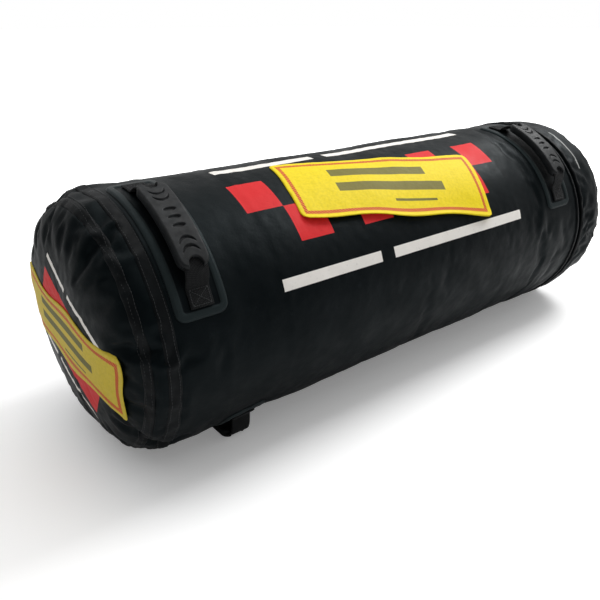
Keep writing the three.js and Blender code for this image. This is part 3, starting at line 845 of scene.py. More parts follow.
def rest_on_floor(points):
    """Lifts points that lie below the floor on to it, in place, and returns them."""
    floor = floor_height(points[..., 0])
    above = (points[..., 2] - floor) / FLOOR_SOFTNESS
    points[..., 2] = floor + FLOOR_SOFTNESS * np.logaddexp(0, above)
    return points


def seam_hold(rows, angles):
    """How firmly each simulated point is held by the middle of an end, a seam or the zip."""
    x = rows[:, 0]
    hold = 1 - smooth(rows[:, 1], 0.020, 0.060)
    for seam, firmness in SEAM_FIRMNESS.items():
        hold = np.maximum(hold, firmness * hump(x, seam, 0.006))
    for edge in (MOUTH_X, LID_X):
        hold = np.maximum(hold, 1 - smooth(np.abs(x - edge), 0.004, 0.012))
    return hold[:, None] + 0 * angles


def fit(rows, angles):
    """The tube and the middle of each end almost fit, and the rest is cut too large."""
    x = rows[:, 0]
    tube = smooth(x, SHOULDER_SEAM_X, SHOULDER_SEAM_X + 0.07) * (1 - smooth(x, LID_X, LID_X + 0.01))
    share = np.maximum(tube, 1 - smooth(rows[:, 1], 0.11, 0.15))
    lid_top = 0.75 * (x > LID_X)[:, None] * hump(angle_between(angles, 90), 0, 110)
    return np.maximum(share[:, None], lid_top)


def loose_cloth(rows, angles, start):
    """The cut cloth, facing outwards, with its held and its fitted parts as vertex groups."""
    cloth = mesh_object("slack_cloth", start.reshape(-1, 3), grid_faces(len(rows), len(angles), True))
    outward = (start - start.mean(axis=(0, 1))).reshape(-1, 3)
    normals = np.array([v.normal for v in cloth.data.vertices])
    if np.sum(normals * outward) < 0:
        cloth.data.flip_normals()
    hold = np.maximum(seam_hold(rows, angles), start[..., 2] < 0.004)
    for name, weights in (("held", np.clip(hold, 0, 1)), ("fitted", fit(rows, angles))):
        group = cloth.vertex_groups.new(name=name)
        for i, weight in enumerate(weights.ravel()):
            group.add([i], float(weight), "REPLACE")
    return cloth


def settle(cloth):
    """Runs the simulation and leaves its result in the mesh."""
    modifier = cloth.modifiers.new("Cloth", "CLOTH")
    settings = modifier.settings
    settings.quality = 5
    settings.mass = 0.02
    settings.tension_stiffness = 20
    settings.compression_stiffness = 20
    settings.shear_stiffness = 8
    settings.bending_stiffness = 0.15
    settings.air_damping = 2
    settings.use_pressure = True
    settings.uniform_pressure_force = SIM_PUSH
    settings.shrink_min = -END_GROWTH
    settings.shrink_max = -TUBE_GROWTH
    settings.vertex_group_mass = "held"
    settings.vertex_group_shrink = "fitted"
    settings.effector_weights.gravity = 0
    modifier.point_cache.frame_start = 1
    modifier.point_cache.frame_end = SIM_FRAMES
    for number in range(1, SIM_FRAMES + 1):
        bpy.context.scene.frame_set(number)
    apply_modifiers(cloth)
    bpy.context.scene.frame_set(1)


def slack(line, x0, x1):
    """Simulates a stretch of skin that is cut too large and pushed out from inside.

    Returns its rows' travel, and how far each of its points moved. The mean swelling of each
    row is taken out, so that the folds stay and the bag keeps its size.
    """
    rows = rows_between(line, x0, x1, SIM_STEP)
    angles = np.arange(SIM_COLUMNS) * 360 / SIM_COLUMNS
    start = rest_on_floor(base_points(rows, angles))
    cloth = loose_cloth(rows, angles, start)
    settle(cloth)
    moved = np.array([v.co for v in cloth.data.vertices]).reshape(start.shape) - start
    bpy.data.objects.remove(cloth)
    for outward in (np.array([1.0, 0, 0]) + 0 * radial(angles), radial(angles)):
        swelling = np.sum(moved * outward, axis=-1).mean(axis=1)
        moved -= swelling[:, None, None] * outward
    distance = np.linalg.norm(moved, axis=-1, keepdims=True)
    moved *= SIM_LIMIT * np.tanh(distance / SIM_LIMIT) / np.maximum(distance, 1e-9)
    return rows[:, 2], moved


def apply_modifiers(obj):
    """Bakes an object's modifiers into its mesh."""
    graph = bpy.context.evaluated_depsgraph_get()
    mesh = bpy.data.meshes.new_from_object(obj.evaluated_get(graph))
    obj.modifiers.clear()
    obj.data = mesh


def cubic_weights(t):
    """How much each of four neighbours counts, for a place between the middle two."""
    return (
        (-t + 2 * t**2 - t**3) / 2,
        (2 - 5 * t**2 + 3 * t**3) / 2,
        (t + 4 * t**2 - 3 * t**3) / 2,
        (-(t**2) + t**3) / 2,
    )


def sample(field, rows, columns):
    """Reads a field of (row, column) values smoothly between them; the columns wrap round."""
    i, j = np.floor(rows).astype(int), np.floor(columns).astype(int)
    total = 0
    for a, row_weight in enumerate(cubic_weights(rows - i)):
        row = np.clip(i + a - 1, 0, field.shape[0] - 1)
        for b, column_weight in enumerate(cubic_weights(columns - j)):
            column = (j + b - 1) % field.shape[1]
            weight = row_weight[:, None] * column_weight[None, :]
            total = total + weight[..., None] * field[row[:, None], column[None, :]]
    return total


def simulated_skin():
    """The bag's and the lid's slack, without the middle of each end."""
    rounded = 300  # points of each line that surely lie on its rounded end
    bag_start = np.interp(SIM_HUB, BAG_LINE[:rounded, 1], BAG_LINE[:rounded, 0])
    lid_end = np.interp(-SIM_HUB, -LID_LINE[-rounded:, 1], LID_LINE[-rounded:, 0])
    return [
        (BAG_LINE, slack(BAG_LINE, bag_start, MOUTH_X)),
        (LID_LINE, slack(LID_LINE, LID_X, lid_end)),
    ]


SLACK = simulated_skin()


def skin_points(line, rows, angles=ANGLES):
    """The filled skin, with the simulation's movement added, resting on the ground."""
    points = base_points(rows, angles)
    for simulated, (travel, moved) in SLACK:
        if simulated is line:
            place = (rows[:, 2] - travel[0]) / (travel[1] - travel[0])
            share = smooth(place, -4, 0)[:, None] * looseness(rows[:, :1], angles)
            place = np.clip(place, 0, len(travel) - 1)
            points += share[..., None] * sample(moved, place, angles / 360 * SIM_COLUMNS)
    return rest_on_floor(points)


def skin_grid(name):
    """The outside of one panel, as rows of points around the bag."""
    line, x0, x1 = STRETCHES[name]
    return skin_points(line, rows_between(line, x0, x1, ROW_STEP))


GRIDS = {name: skin_grid(name) for name in STRETCHES}


def grid_surface(grids):
    """One search tree over the whole skin."""
    points, faces, start = [], [], 0
    for grid in grids:
        rows, columns = grid.shape[:2]
        faces += grid_faces(rows, columns, True, start)
        points += grid.reshape(-1, 3).tolist()
        start += rows * columns
    return BVHTree.FromPolygons(points, faces)


SURFACE = grid_surface(GRIDS.values())


def drape(points, outward, lift):
    """Moves points along their outward directions on to the skin, and lifts them off it."""
    reach = 0.05
    result = np.empty_like(points)
    for index in np.ndindex(points.shape[:-1]):
        direction = Vector(outward[index])
        start = Vector(points[index]) + direction * reach
        hit = SURFACE.ray_cast(start, -direction, 2 * reach)[0]
        place = hit if hit is not None else Vector(points[index])
        result[index] = place + direction * float(lift[index])
    return result


def pulled_taut(grid, outward, passes):
    """Lifts a sheet out of the hollows that it lies over. It still touches their high spots."""
    height = np.sum(grid * outward, axis=-1)
    start = height.copy()
    for _ in range(passes):
        padded = np.pad(height, 1, mode="edge")
        blurred = (padded[:-2, 1:-1] + padded[2:, 1:-1] + padded[1:-1, :-2] + padded[1:-1, 2:]) / 4
        height = np.maximum(blurred, start)
    return grid + outward * (height - start)[..., None]


def skin_normals(grid):
    """Unit vectors that point out of the bag. All points of an end's middle share theirs."""
    around_bag = np.roll(grid, -1, axis=1) - np.roll(grid, 1, axis=1)
    normal = np.cross(np.gradient(grid, axis=0), around_bag)
    normal /= np.maximum(np.linalg.norm(normal, axis=-1, keepdims=True), 1e-12)
    for row, neighbour in ((0, 1), (-1, -2)):
        if np.ptp(grid[row], axis=0).max() < 1e-6:
            normal[row] = normal[neighbour].mean(axis=0)
    outward = grid - grid.mean(axis=(0, 1))
    return normal * np.sign(np.sum(normal * outward, axis=-1).mean())


def skin_piece(name, prints=None):
    """A panel of the skin, with its thickness inside."""
    outer = GRIDS[name]
    inner = outer - skin_normals(outer) * WALL_THICKNESS
    obj = slab(f"{name}_skin", outer, inner, closed_columns=True)
    stand_for(obj, coated_fabric(f"{name}_fabric", prints), name)


def bag_skin():
    """The five panels. Seams, prints and creases run on over their edges."""
    skin_piece("closed_end_disc", end_prints)
    skin_piece("closed_end_shoulder", end_prints)
    skin_piece("tube_wall", tube_prints)
    skin_piece("lid_wall", lid_prints)
    skin_piece("lid_disc")


# ---- Tapes on the skin ---------------------------------------------------------


def radius_at(x):
    """The nominal radius of the bag's or the lid's outline."""
    line = LID_LINE if x >= LID_X else BAG_LINE
    order = np.argsort(line[:, 0])
    return np.interp(x, line[order, 0], line[order, 1])


def band_on_skin(name, x0, x1, height, angles=ANGLES, closed=True, rows=9):
    """A raised tape between two x values, rounded over at its edges."""
    across = np.linspace(-1, 1, rows)
    xs = ((x0 + x1) / 2 + across * (x1 - x0) / 2)[:, None]
    place = around(xs, angles, np.array([[radius_at(x)] for x in xs[:, 0]]))
    outward = radial(angles + 0 * xs)
    outward[..., 0] -= (radius_at(x1) - radius_at(x0)) / (x1 - x0)
    outward /= np.linalg.norm(outward, axis=-1, keepdims=True)
    rise = np.sqrt(np.clip(1 - np.abs(across) ** 4, 0.02, 1))
    lift = 0.0001 + height * rise[:, None] + 0 * angles
    top = drape(place, outward, lift)
    top[..., 2] = np.maximum(top[..., 2], 0)
    bottom = drape(place, outward, 0 * lift - 0.0006)
    return slab(name, top, bottom, closed_columns=closed)


def ring_stitching(node, x, height, reach=180):
    """A row of stitches around the bag, up to an angle to each side of its front."""
    angles = np.linspace(-reach, reach, 361)
    place = around(x, angles, radius_at(x))
    outward = radial(angles)
    line = drape(place, outward, height + 0 * angles)
    line[..., 2] = np.maximum(line[..., 2], 0)
    side = "low" if x < middle_of(node).x else "high"
    stitches(f"{node}_{side}_stitching", [(line, outward)], RING_STITCH, node)


def seam_stitching():
    """Two rows of stitches on each seam tape, and one on each binding."""
    for node in ("shoulder_weld_tape", "disc_weld_tape", "lid_weld_tape"):
        low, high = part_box(node)
        for x in (low.x + SEAM_STITCH_INSET, high.x - SEAM_STITCH_INSET):
            ring_stitching(node, x, SEAM_TAPE_HEIGHT)
    inset = BINDING_STITCH_INSET
    ring_stitching("mouth_binding", MOUTH_X - inset, BINDING_HEIGHT, BINDING_STITCH_REACH)
    ring_stitching("lid_binding", LID_X + inset, BINDING_HEIGHT, BINDING_STITCH_REACH)


def skin_tapes():
    """Tapes over the seams, and bindings round the edges of the mouth and the lid."""
    for node, height in (
        ("shoulder_weld_tape", SEAM_TAPE_HEIGHT),
        ("disc_weld_tape", SEAM_TAPE_HEIGHT),
        ("lid_weld_tape", SEAM_TAPE_HEIGHT),
        ("mouth_binding", BINDING_HEIGHT),
        ("lid_binding", BINDING_HEIGHT),
    ):
        low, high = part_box(node)
        stand_for(band_on_skin(f"{node}_strip", low.x, high.x, height), SEAM_TAPE, node)


def lap_seam():
    """The strip along the back, where the tube's sheet is welded to itself."""
    low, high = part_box("tube_lap_seam")
    angles = np.linspace(*LAP_ANGLES, 7)
    lap = band_on_skin("tube_lap_strip", low.x, high.x, LAP_HEIGHT, angles, closed=False, rows=140)
    stand_for(lap, coated_fabric("lap_fabric"), "tube_lap_seam")


def hem(node):
    """The turned-in edge of the fabric that the zip is sewn to."""
    low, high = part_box(node)
    xs = np.linspace(low.x, high.x, 5)[:, None]
    faces = []
    for depth, floor in zip(HEM_DEPTHS, HEM_FLOORS):
        grid = around(xs, ANGLES, RADIUS - depth)
        grid[..., 2] = np.maximum(grid[..., 2], floor)
        faces.append(grid)
    obj = slab(f"{node}_fold", *faces, closed_columns=True)
    stand_for(obj, coated_fabric(f"{node}_fabric"), node)


# ---- Zip -----------------------------------------------------------------------

def zip_tape(node):
    """The woven tape that one side's teeth are moulded on to."""
    low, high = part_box(node)
    angles = np.linspace(-ZIP_END, ZIP_END, 150)
    xs = np.linspace(low.x, high.x, 4)[:, None]
    top = around(xs, angles, ZIP_RADIUS + ZIP_TAPE_HALF_THICKNESS)
    bottom = around(xs, angles, ZIP_RADIUS - ZIP_TAPE_HALF_THICKNESS)
    stand_for(slab(f"{node}_cloth", top, bottom), ZIP_CLOTH, node)


def zip_tooth(angle, side):
    """Six-sided rings that swell in the middle of the tooth's reach."""
    outward = radial(np.array(angle))
    along = np.cross(outward, (1, 0, 0))
    rings = []
    for share in np.arange(7) / 6:
        reach = TOOTH_START + TOOTH_LENGTH * share
        bulge = 0.0011 * math.sin(math.pi * share) + 0.0006
        centre = around(ZIP_X + side * reach, angle, ZIP_RADIUS + 0.0004)
        turns = np.arange(6) * math.pi / 3
        rings.append([
            centre + outward * math.cos(turn) * bulge + along * math.sin(turn) * 0.0009
            for turn in turns
        ])
    return rings


def zip_teeth(node, side):
    """A row of moulded loops, a quarter of a pitch out of step with those of the other side."""
    points, faces = [], []
    count = int(2 * math.radians(ZIP_END) * ZIP_RADIUS / TOOTH_PITCH)
    first = 0.5 if side > 0 else 0.25
    for i in range(count):
        add_tube(points, faces, zip_tooth(-ZIP_END + 2 * ZIP_END * (i + first) / count, side))
    stand_for(mesh_object(f"{node}_teeth", points, faces), ZIP_NYLON, node)


PULLER_NORMAL = Vector(radial(np.array(SLIDER_ANGLE)))


def puller_eye():
    """The eye lies towards the front of the bag from the puller's pin."""
    pin = next(Vector(j["pos_m"]) for j in frame["joints"] if j["name"] == "puller_flip")
    return pin + PULLER_NORMAL.cross((1, 0, 0)) * PULLER_EYE_REACH


def eye_cutter():
    """A round cutter through the puller's eye, which makes it wider and smoother."""
    side = PULLER_NORMAL.orthogonal().normalized()
    across = PULLER_NORMAL.cross(side)
    turns = np.arange(32) * math.pi / 16
    profile = [(PULLER_EYE_RADIUS * math.cos(t), PULLER_EYE_RADIUS * math.sin(t)) for t in turns]
    path = [(puller_eye() + PULLER_NORMAL * reach, side, across) for reach in (-0.005, 0.005)]
    return tube_along("eye_cutter", path, profile)


def cut_away(obj, cutter):
    """Takes another object's shape out of this one, once its modifiers are applied."""
    cut = obj.modifiers.new("Cut", "BOOLEAN")
    cut.object = cutter
    cut.solver = "EXACT"


def cast_piece(node, cutter=None):
    """A copy of a small metal part, with its edges rounded over."""
    source = frame["nodes"][node]
    obj = bpy.data.objects.new(f"{node}_cast", source.data.copy())
    bpy.context.scene.collection.objects.link(obj)
    obj.data.transform(source.matrix_world)
    if cutter:
        cut_away(obj, cutter)
    bevel = obj.modifiers.new("Rounded edges", "BEVEL")
    bevel.width = CAST_EDGE
    bevel.segments = 3
    bevel.limit_method = "ANGLE"
    bevel.angle_limit = math.radians(40)
    apply_modifiers(obj)
    stand_for(obj, ZIP_ENAMEL, node)


def zip_parts():
    zip_tape("zip_tape_bag_side")
    zip_tape("zip_tape_lid_side")
    zip_teeth("zip_coil_bag_side", -1)
    zip_teeth("zip_coil_lid_side", 1)
    cutter = eye_cutter()
    cast_piece("zip_slider")
    cast_piece("zip_puller", cutter)
    cast_piece("zip_stop_closed")
    cast_piece("zip_stop_open")
    bpy.data.objects.remove(cutter)


def lid_hinge():
    """One flap of fabric over the back of the mouth, left on neither the bag's body nor the lid's."""
    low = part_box("hinge_fabric_bag_half")[0]
    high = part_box("hinge_fabric_lid_half")[1]
    half = HINGE_HALF_ANGLE
    angles = np.linspace(180 - half, 180 + half, 40)
    xs = np.linspace(low.x, high.x, 26)[:, None]
    edge = np.minimum(half - np.abs(angles - 180), 3) / 3
    height = HINGE_LIFT + 0.0003 + 0.0012 * np.sqrt(np.clip(edge, 0.05, 1))
    top = around(xs, angles, RADIUS + height)
    bottom = around(xs, angles, RADIUS + HINGE_LIFT)
    obj = slab("lid_hinge_fabric", top, bottom)
    nodes = ("hinge_fabric_bag_half", "hinge_fabric_lid_half")
    stand_for(obj, coated_fabric("hinge_fabric"), *nodes, bends=True)
    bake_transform(obj)


# ---- Carry handles --------------------------------------------------------------

class TopForm:
    """Places (u, v, h) on the round of the bag: around it, along it and off its skin.

    nominal() also returns the outward directions, rigid() places what doesn't bend with the
    skin, and spread() is how long a length at height h is when measured on the skin.
    """

    def __init__(self, x):
        self.x = x
        self.up = radial(np.array(HANDLE_ANGLE))

    def nominal(self, u, v, h):
        angle = HANDLE_ANGLE + np.degrees(u / RADIUS)
        return around(self.x + v, angle, RADIUS + h), radial(angle)

    def rigid(self, u, v, h):
        return self.nominal(u, v, h)[0]

    def spread(self, length, h):
        return length / (1 + h / RADIUS)


class BellyForm:
    """The same under the bag, flat in its pocket and turned up around the bag's sides."""

    def __init__(self, x, y):
        self.x = x
        self.y = y
        self.top = POCKET_HEIGHT
        self.rise = AXIS_Z - POCKET_HEIGHT
        self.flat_half = math.sqrt(RADIUS**2 - self.rise**2)
        self.corner = math.asin(self.rise / RADIUS)
        self.up = np.array([0.0, 0.0, -1.0])

    def nominal(self, u, v, h):
        side = np.sign(u + self.y)
        past = np.maximum(np.abs(u + self.y) - self.flat_half, 0)
        turn = self.corner - past / RADIUS
        round_part = around(self.x + v, np.degrees(-turn), RADIUS + h)
        round_part[..., 1] *= -side
        flat_part = np.stack([self.x + v, u + self.y, self.top - h], axis=-1)
        flat = (past <= 0)[..., None]
        outward = np.stack([0 * u, side * np.cos(turn), -np.sin(turn)], axis=-1)
        down = np.stack([0 * u, 0 * u, 0 * u - 1], axis=-1)
        return np.where(flat, flat_part, round_part), np.where(flat, down, outward)

    def rigid(self, u, v, h):
        return np.stack([self.x + v, u + self.y, self.top - h], axis=-1)

    def spread(self, length, h):
        return length


def plan_grid(length, width, corner, step):
    """(u, v) over a rounded rectangle, and the distance of each point from its edge."""
    b = np.linspace(-1, 1, max(9, round(width / step) + 1))
    a = np.linspace(-1, 1, max(9, round(length / step) + 1))
    v = b * width / 2
    over = np.maximum(np.abs(v) - (width / 2 - corner), 0)
    half = length / 2 - corner + np.sqrt(np.maximum(corner**2 - over**2, 0))
    u = a[:, None] * half[None, :]
    v = v[None, :] + 0 * u
    qx = np.abs(u) - (length / 2 - corner)
    qy = np.abs(v) - (width / 2 - corner)
    outside = np.hypot(np.maximum(qx, 0), np.maximum(qy, 0))
    edge = corner - outside - np.minimum(np.maximum(qx, qy), 0)
    return u, v, np.maximum(edge, 0)


def on_skin(form, u, v, h):
    """Points at a height above the skin."""
    place, outward = form.nominal(u, v, 0 * u)
    return drape(place, outward, h)


def handle_patch(name, form):
    """A welded patch with a raised rim, wider at its edge than the strap's foot."""
    u, v, edge = plan_grid(PATCH_LENGTH, PATCH_WIDTH, PATCH_CORNER, 0.0016)
    height = 0.0003 + 0.0013 * smooth(edge, -0.0004, 0.0016)
    rim = 0.0014 * smooth(edge, 0.0012, 0.0026) * (1 - smooth(edge, 0.0095, 0.0115))
    top = on_skin(form, u, v, height + rim)
    bottom = on_skin(form, u, v, 0 * u - 0.0003)
    obj = slab(f"{name}_welded_patch", top, bottom)
    nearest_uv(obj, top, np.stack([edge, 0 * edge], axis=-1))
    stand_for(obj, PATCH_FABRIC, f"{name}_patch")


def strap_line(form):
    """The webbing's path, from foot to foot through the grip.

    Its rows are (u, h, share), where the share is 1 for points that rest on the skin.
    """
    inside = GRIP_HEIGHT + STRAP_IN_GRIP
    end = form.spread(GRIP_LENGTH, inside) / 2
    foot = STRAP_FOOT
    right = [
        (0.0, inside, 0),
        (end * 0.35, inside, 0),
        (end * 0.7, inside, 0),
        (end - 0.006, inside, 0),
        (end + 0.001, inside - 0.0007, 0),
        (end + 0.008, inside - 0.0048, 0.25),
        (end + 0.014, foot + 0.0035, 0.8),
        (end + 0.019, foot + 0.0002, 1),
        (end + 0.026, foot, 1),
        (STRAP_REACH, foot, 1),
    ]
    left = [(-u, h, share) for u, h, share in right[:0:-1]]
    return np.array(left + right)


def catmull(points, samples):
    """A smooth curve through rows of numbers."""
    padded = np.concatenate([[2 * points[0] - points[1]], points, [2 * points[-1] - points[-2]]])
    result = []
    for i in range(1, len(padded) - 2):
        a, b, c, d = padded[i - 1 : i + 3]
        for t in np.arange(samples) / samples:
            square = (2 * a - 5 * b + 4 * c - d) * t**2
            cube = (3 * b - a - 3 * c + d) * t**3
            result.append(0.5 * (2 * b + (c - a) * t + square + cube))
    result.append(padded[-2])
    return np.array(result)


def handle_strap(name, form):
    """Webbing that lies on the skin at its feet and runs through the grip between them."""
    u, h, share = catmull(strap_line(form), 9).T
    share = np.clip(share, 0, 1)[:, None]
    centre = on_skin(form, u, 0 * u, h) * share + form.rigid(u, 0 * u, h) * (1 - share)
    along = np.gradient(centre, axis=0)
    along /= np.linalg.norm(along, axis=-1, keepdims=True)
    side = (1.0, 0.0, 0.0)
    path = [(point, side, np.cross(side, forward)) for point, forward in zip(centre, along)]
    profile = rounded_bar(STRAP_WIDTH, STRAP_THICKNESS, STRAP_THICKNESS * 0.42, 3)
    obj = tube_along(f"{name}_webbing", path, profile)
    uv_along_path(obj, centre)
    stand_for(obj, WEBBING, f"{name}_strap", bends=True)
    bend_strap(obj, name, form)


def uv_along_path(obj, centre):
    """Distances along and across a strap that lies across the bag, for its weave."""
    tree = search_tree(centre)
    lengths = travelled(centre)
    pairs = []
    for vertex in obj.data.vertices:
        i = tree.find((centre[0][0], *vertex.co[1:]))[1]
        offset = np.array(vertex.co) - centre[i]
        along = centre[min(i + 1, len(centre) - 1)] - centre[max(i - 1, 0)]
        along /= np.linalg.norm(along)
        pairs.append((lengths[i] + float(offset @ along), float(offset[0])))
    set_uv(obj, pairs)


def bend_strap(obj, name, form):
    """Bakes the strap's placement into its mesh; the strap is left on no body."""
    middle = Vector(form.rigid(np.array(0.0), np.array(0.0), np.array(0.0)))
    up = Vector(form.up)
    feet = [Vector(p) for p in form.nominal(np.array([-0.09, 0.09]), np.zeros(2), np.zeros(2))[0]]
    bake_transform(obj)


def stitch(start, end, up, width, height):
    """Rings of a thread that rises out of the cloth and back into it."""
    side = np.cross(end - start, up)
    side /= np.linalg.norm(side)
    rings = []
    for share in np.arange(5) / 4:
        swell = math.sin(math.pi * (0.08 + 0.84 * share))
        centre = start + (end - start) * share + up * height * (swell - 0.35)
        ring = []
        for turn in np.arange(6) * math.pi / 3:
            offset = side * math.cos(turn) * width / 2 + up * math.sin(turn) * height
            ring.append(centre + offset * (0.45 + 0.55 * swell))
        rings.append(ring)
    return rings


def read_along(rows, lengths, distance):
    """Reads rows of three numbers at a distance along their line."""
    return np.array([np.interp(distance, lengths, rows[:, k]) for k in range(3)])


def stitches(name, paths, size, node):
    """Short threads laid end to end along 3-D paths of (points, outward directions)."""
    pitch, width, height = size
    points, faces = [], []
    for line, outward in paths:
        lengths = travelled(line)
        count = max(1, int(lengths[-1] / pitch))
        step = lengths[-1] / count
        for i in range(count):
            start = read_along(line, lengths, (i + 0.1) * step)
            end = read_along(line, lengths, (i + 0.9) * step)
            up = read_along(outward, lengths, (i + 0.5) * step)
            add_tube(points, faces, stitch(start, end, up, width, height))
    obj = paint(mesh_object(name, points, faces), THREAD)
    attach(obj, BODIES[node])


def strap_stitching(name, form):
    """A sewn box with a cross at each foot of the strap."""
    paths = []
    inset = 0.003
    inner, outer, half = STRAP_REACH - 0.0215, STRAP_REACH - inset, STRAP_WIDTH / 2 - inset
    corners = [(inner, -half), (outer, -half), (outer, half), (inner, half)]
    lines = [(corners[i], corners[(i + 1) % 4]) for i in range(4)]
    lines += [(corners[0], corners[2]), (corners[1], corners[3])]
    for sign in (-1, 1):
        for (u0, v0), (u1, v1) in lines:
            t = np.linspace(0, 1, 12)
            u = sign * (u0 + (u1 - u0) * t)
            v = v0 + (v1 - v0) * t
            place = on_skin(form, u, v, 0 * u + STRAP_FOOT + STRAP_THICKNESS / 2)
            paths.append((place, form.nominal(u, v, 0 * u)[1]))
    stitches(f"{name}_stitching", paths, BOX_STITCH, f"{name}_patch")


def grip_relief(u, v):
    """How deep the grip's top is moulded in: ovals in its middle, crescents beside them."""
    depth = np.zeros_like(u)
    for centre in OVAL_CENTRES:
        oval = np.hypot(v / OVAL_HALF_WIDTH, (u - centre) / OVAL_HALF_LENGTH) - 1
        inside = 1 - smooth(oval * OVAL_HALF_LENGTH, -0.0006, 0.0004)
        depth = np.maximum(depth, RELIEF_DEPTH * inside)
    for direction in (-1, 1):
        for centre in CRESCENT_CENTRES:
            away = centre - direction * u
            outer = np.hypot(v, away + CRESCENT_RADIUS) - CRESCENT_RADIUS
            inner = np.hypot(v, away + CRESCENT_INNER_RADIUS + 0.003) - CRESCENT_INNER_RADIUS
            crescent = np.maximum(outer, -inner)
            depth = np.maximum(depth, RELIEF_DEPTH * (1 - smooth(crescent, -0.0006, 0.0003)))
    return depth


def keyhole(u, v, end):
    """Distance outside the round-ended slot at each end of the grip, above the strap."""
    start = end - KEYHOLE_INSET + KEYHOLE_RADIUS
    past = np.maximum(start - np.abs(u), 0)
    return np.hypot(v, past) - KEYHOLE_RADIUS


def rounded_over(edge, radius):
    """How far a face drops towards its edge, for a fillet of that radius."""
    return radius - np.sqrt(radius**2 - np.clip(radius - edge, 0, radius) ** 2)


def grip_surface(end):
    """Top and underside of the grip as (u, v, top h, bottom h)."""
    u, v, edge = plan_grid(2 * end, GRIP_WIDTH, GRIP_CORNER, GRIP_STEP)
    top = GRIP_HEIGHT + GRIP_THICKNESS - rounded_over(edge, GRIP_TOP_FILLET)
    top -= grip_relief(u, v) * smooth(edge, 0.001, 0.004)
    bottom = GRIP_HEIGHT + rounded_over(edge, GRIP_UNDER_FILLET)
    hole = 1 - smooth(keyhole(u, v, end), -0.0007, 0.0005)
    slot_floor = GRIP_HEIGHT + STRAP_IN_GRIP + 0.0006
    top = top * (1 - hole) + np.minimum(slot_floor, top) * hole
    return u, v, top, bottom


def handle_grip(name, form):
    """A moulded grip with a relief in its top, on a straight piece of the strap."""
    middle = GRIP_HEIGHT + STRAP_IN_GRIP
    end = form.spread(GRIP_LENGTH, middle) / 2
    u, v, top, bottom = grip_surface(end)
    obj = slab(f"{name}_moulded_grip", form.rigid(u, v, top), form.rigid(u, v, bottom))
    cut_passage(obj, form, end, middle)
    stand_for(obj, RUBBER, f"{name}_grip")


def cut_passage(obj, form, end, middle):
    """Opens the flat passage that the webbing runs through, from end to end."""
    half = STRAP_WIDTH / 2 + 0.0006
    u, v = np.meshgrid(np.linspace(-end - 0.02, end + 0.02, 60), [-half, half], indexing="ij")
    top = form.rigid(u, v, middle + PASSAGE_HALF_HEIGHT + 0 * u)
    bottom = form.rigid(u, v, middle - PASSAGE_HALF_HEIGHT + 0 * u)
    cutter = slab("passage_cutter", top, bottom)
    cut_away(obj, cutter)
    apply_modifiers(obj)
    bpy.data.objects.remove(cutter)
    obj.data.shade_smooth()


def handles():
    for end in ENDS:
        top_x = middle_of(f"top_handle_{end}_patch").x
        belly = middle_of(f"belly_handle_{end}_grip")
        forms = {
            f"top_handle_{end}": TopForm(top_x),
            f"belly_handle_{end}": BellyForm(belly.x, belly.y),
        }
        for name, form in forms.items():
            handle_patch(name, form)
            handle_strap(name, form)
            strap_stitching(name, form)
            handle_grip(name, form)


# ---- Labels ----------------------------------------------------------------------


def label_plan(length, height, corner, wave, turn):
    """A turned rounded rectangle whose edges wander a little, as a cut and sewn label's do.

    Returns its own (u, v), the distance from its edge, and where each point lies once turned.
    """
    u, v, edge = plan_grid(length, height, corner, 0.003)
    u_share, v_share = 2 * u / length, 2 * v / height
    bent_u = u + wave * v_share * np.sin(2.6 * v_share + 0.6) * np.abs(u_share) ** 3
    bent_v = v + wave * v_share * np.abs(v_share) * np.sin(7 * u_share + 1.1)
    across = bent_u * math.cos(turn) - bent_v * math.sin(turn)
    up = bent_u * math.sin(turn) + bent_v * math.cos(turn)
    return u, v, edge, across, up


def body_label():
    """The large label over the printed chequers."""
    u, v, edge, across, arc = label_plan(**BODY_LABEL, turn=BODY_LABEL_TURN)
    angle = HANDLE_ANGLE + np.degrees(arc / RADIUS)
    place = around(BODY_LABEL_X + across, angle, RADIUS)
    material = label_material("body_label_film", BODY_LABEL, LABEL_YELLOW)
    sheet("body_label", u, v, edge, place, radial(angle), material)


def end_label():
    """The label across the closed end, its yellow painted darker ochre than the large one's: painted shade for the
    end that faces away from the light.
    """
    u, v, edge, side, up = label_plan(**END_LABEL, turn=END_LABEL_TURN)
    lean = math.radians(HANDLE_ANGLE)
    y = -side * math.sin(lean) - up * math.cos(lean)
    z = AXIS_Z - side * math.cos(lean) + up * math.sin(lean)
    place = np.stack([0 * y + CLOSED_END_X + 0.02, y, z], axis=-1)
    outward = np.stack([0 * y - 1, 0 * y, 0 * y], axis=-1)
    # painted shade: this label's film is a darker ochre copy of the yellow
    material = label_material("end_label_film", END_LABEL, LABEL_SHADED_YELLOW)
    sheet("end_label", u, v, edge, place, outward, material)


def sheet(node, u, v, edge, place, outward, material):
    """A thin label that lies on the skin and spans its hollows."""
    lift = 0.0003 + 0.0011 * smooth(edge, -0.0005, 0.0016)
    top = pulled_taut(drape(place, outward, lift), outward, 24)
    bottom = top - outward * (lift + 0.0004)[..., None]
    obj = slab(f"{node}_film", top, bottom)
    nearest_uv(obj, top, np.stack([u, v], axis=-1))
    stand_for(obj, material, node)


# ---- Blanket ---------------------------------------------------------------------


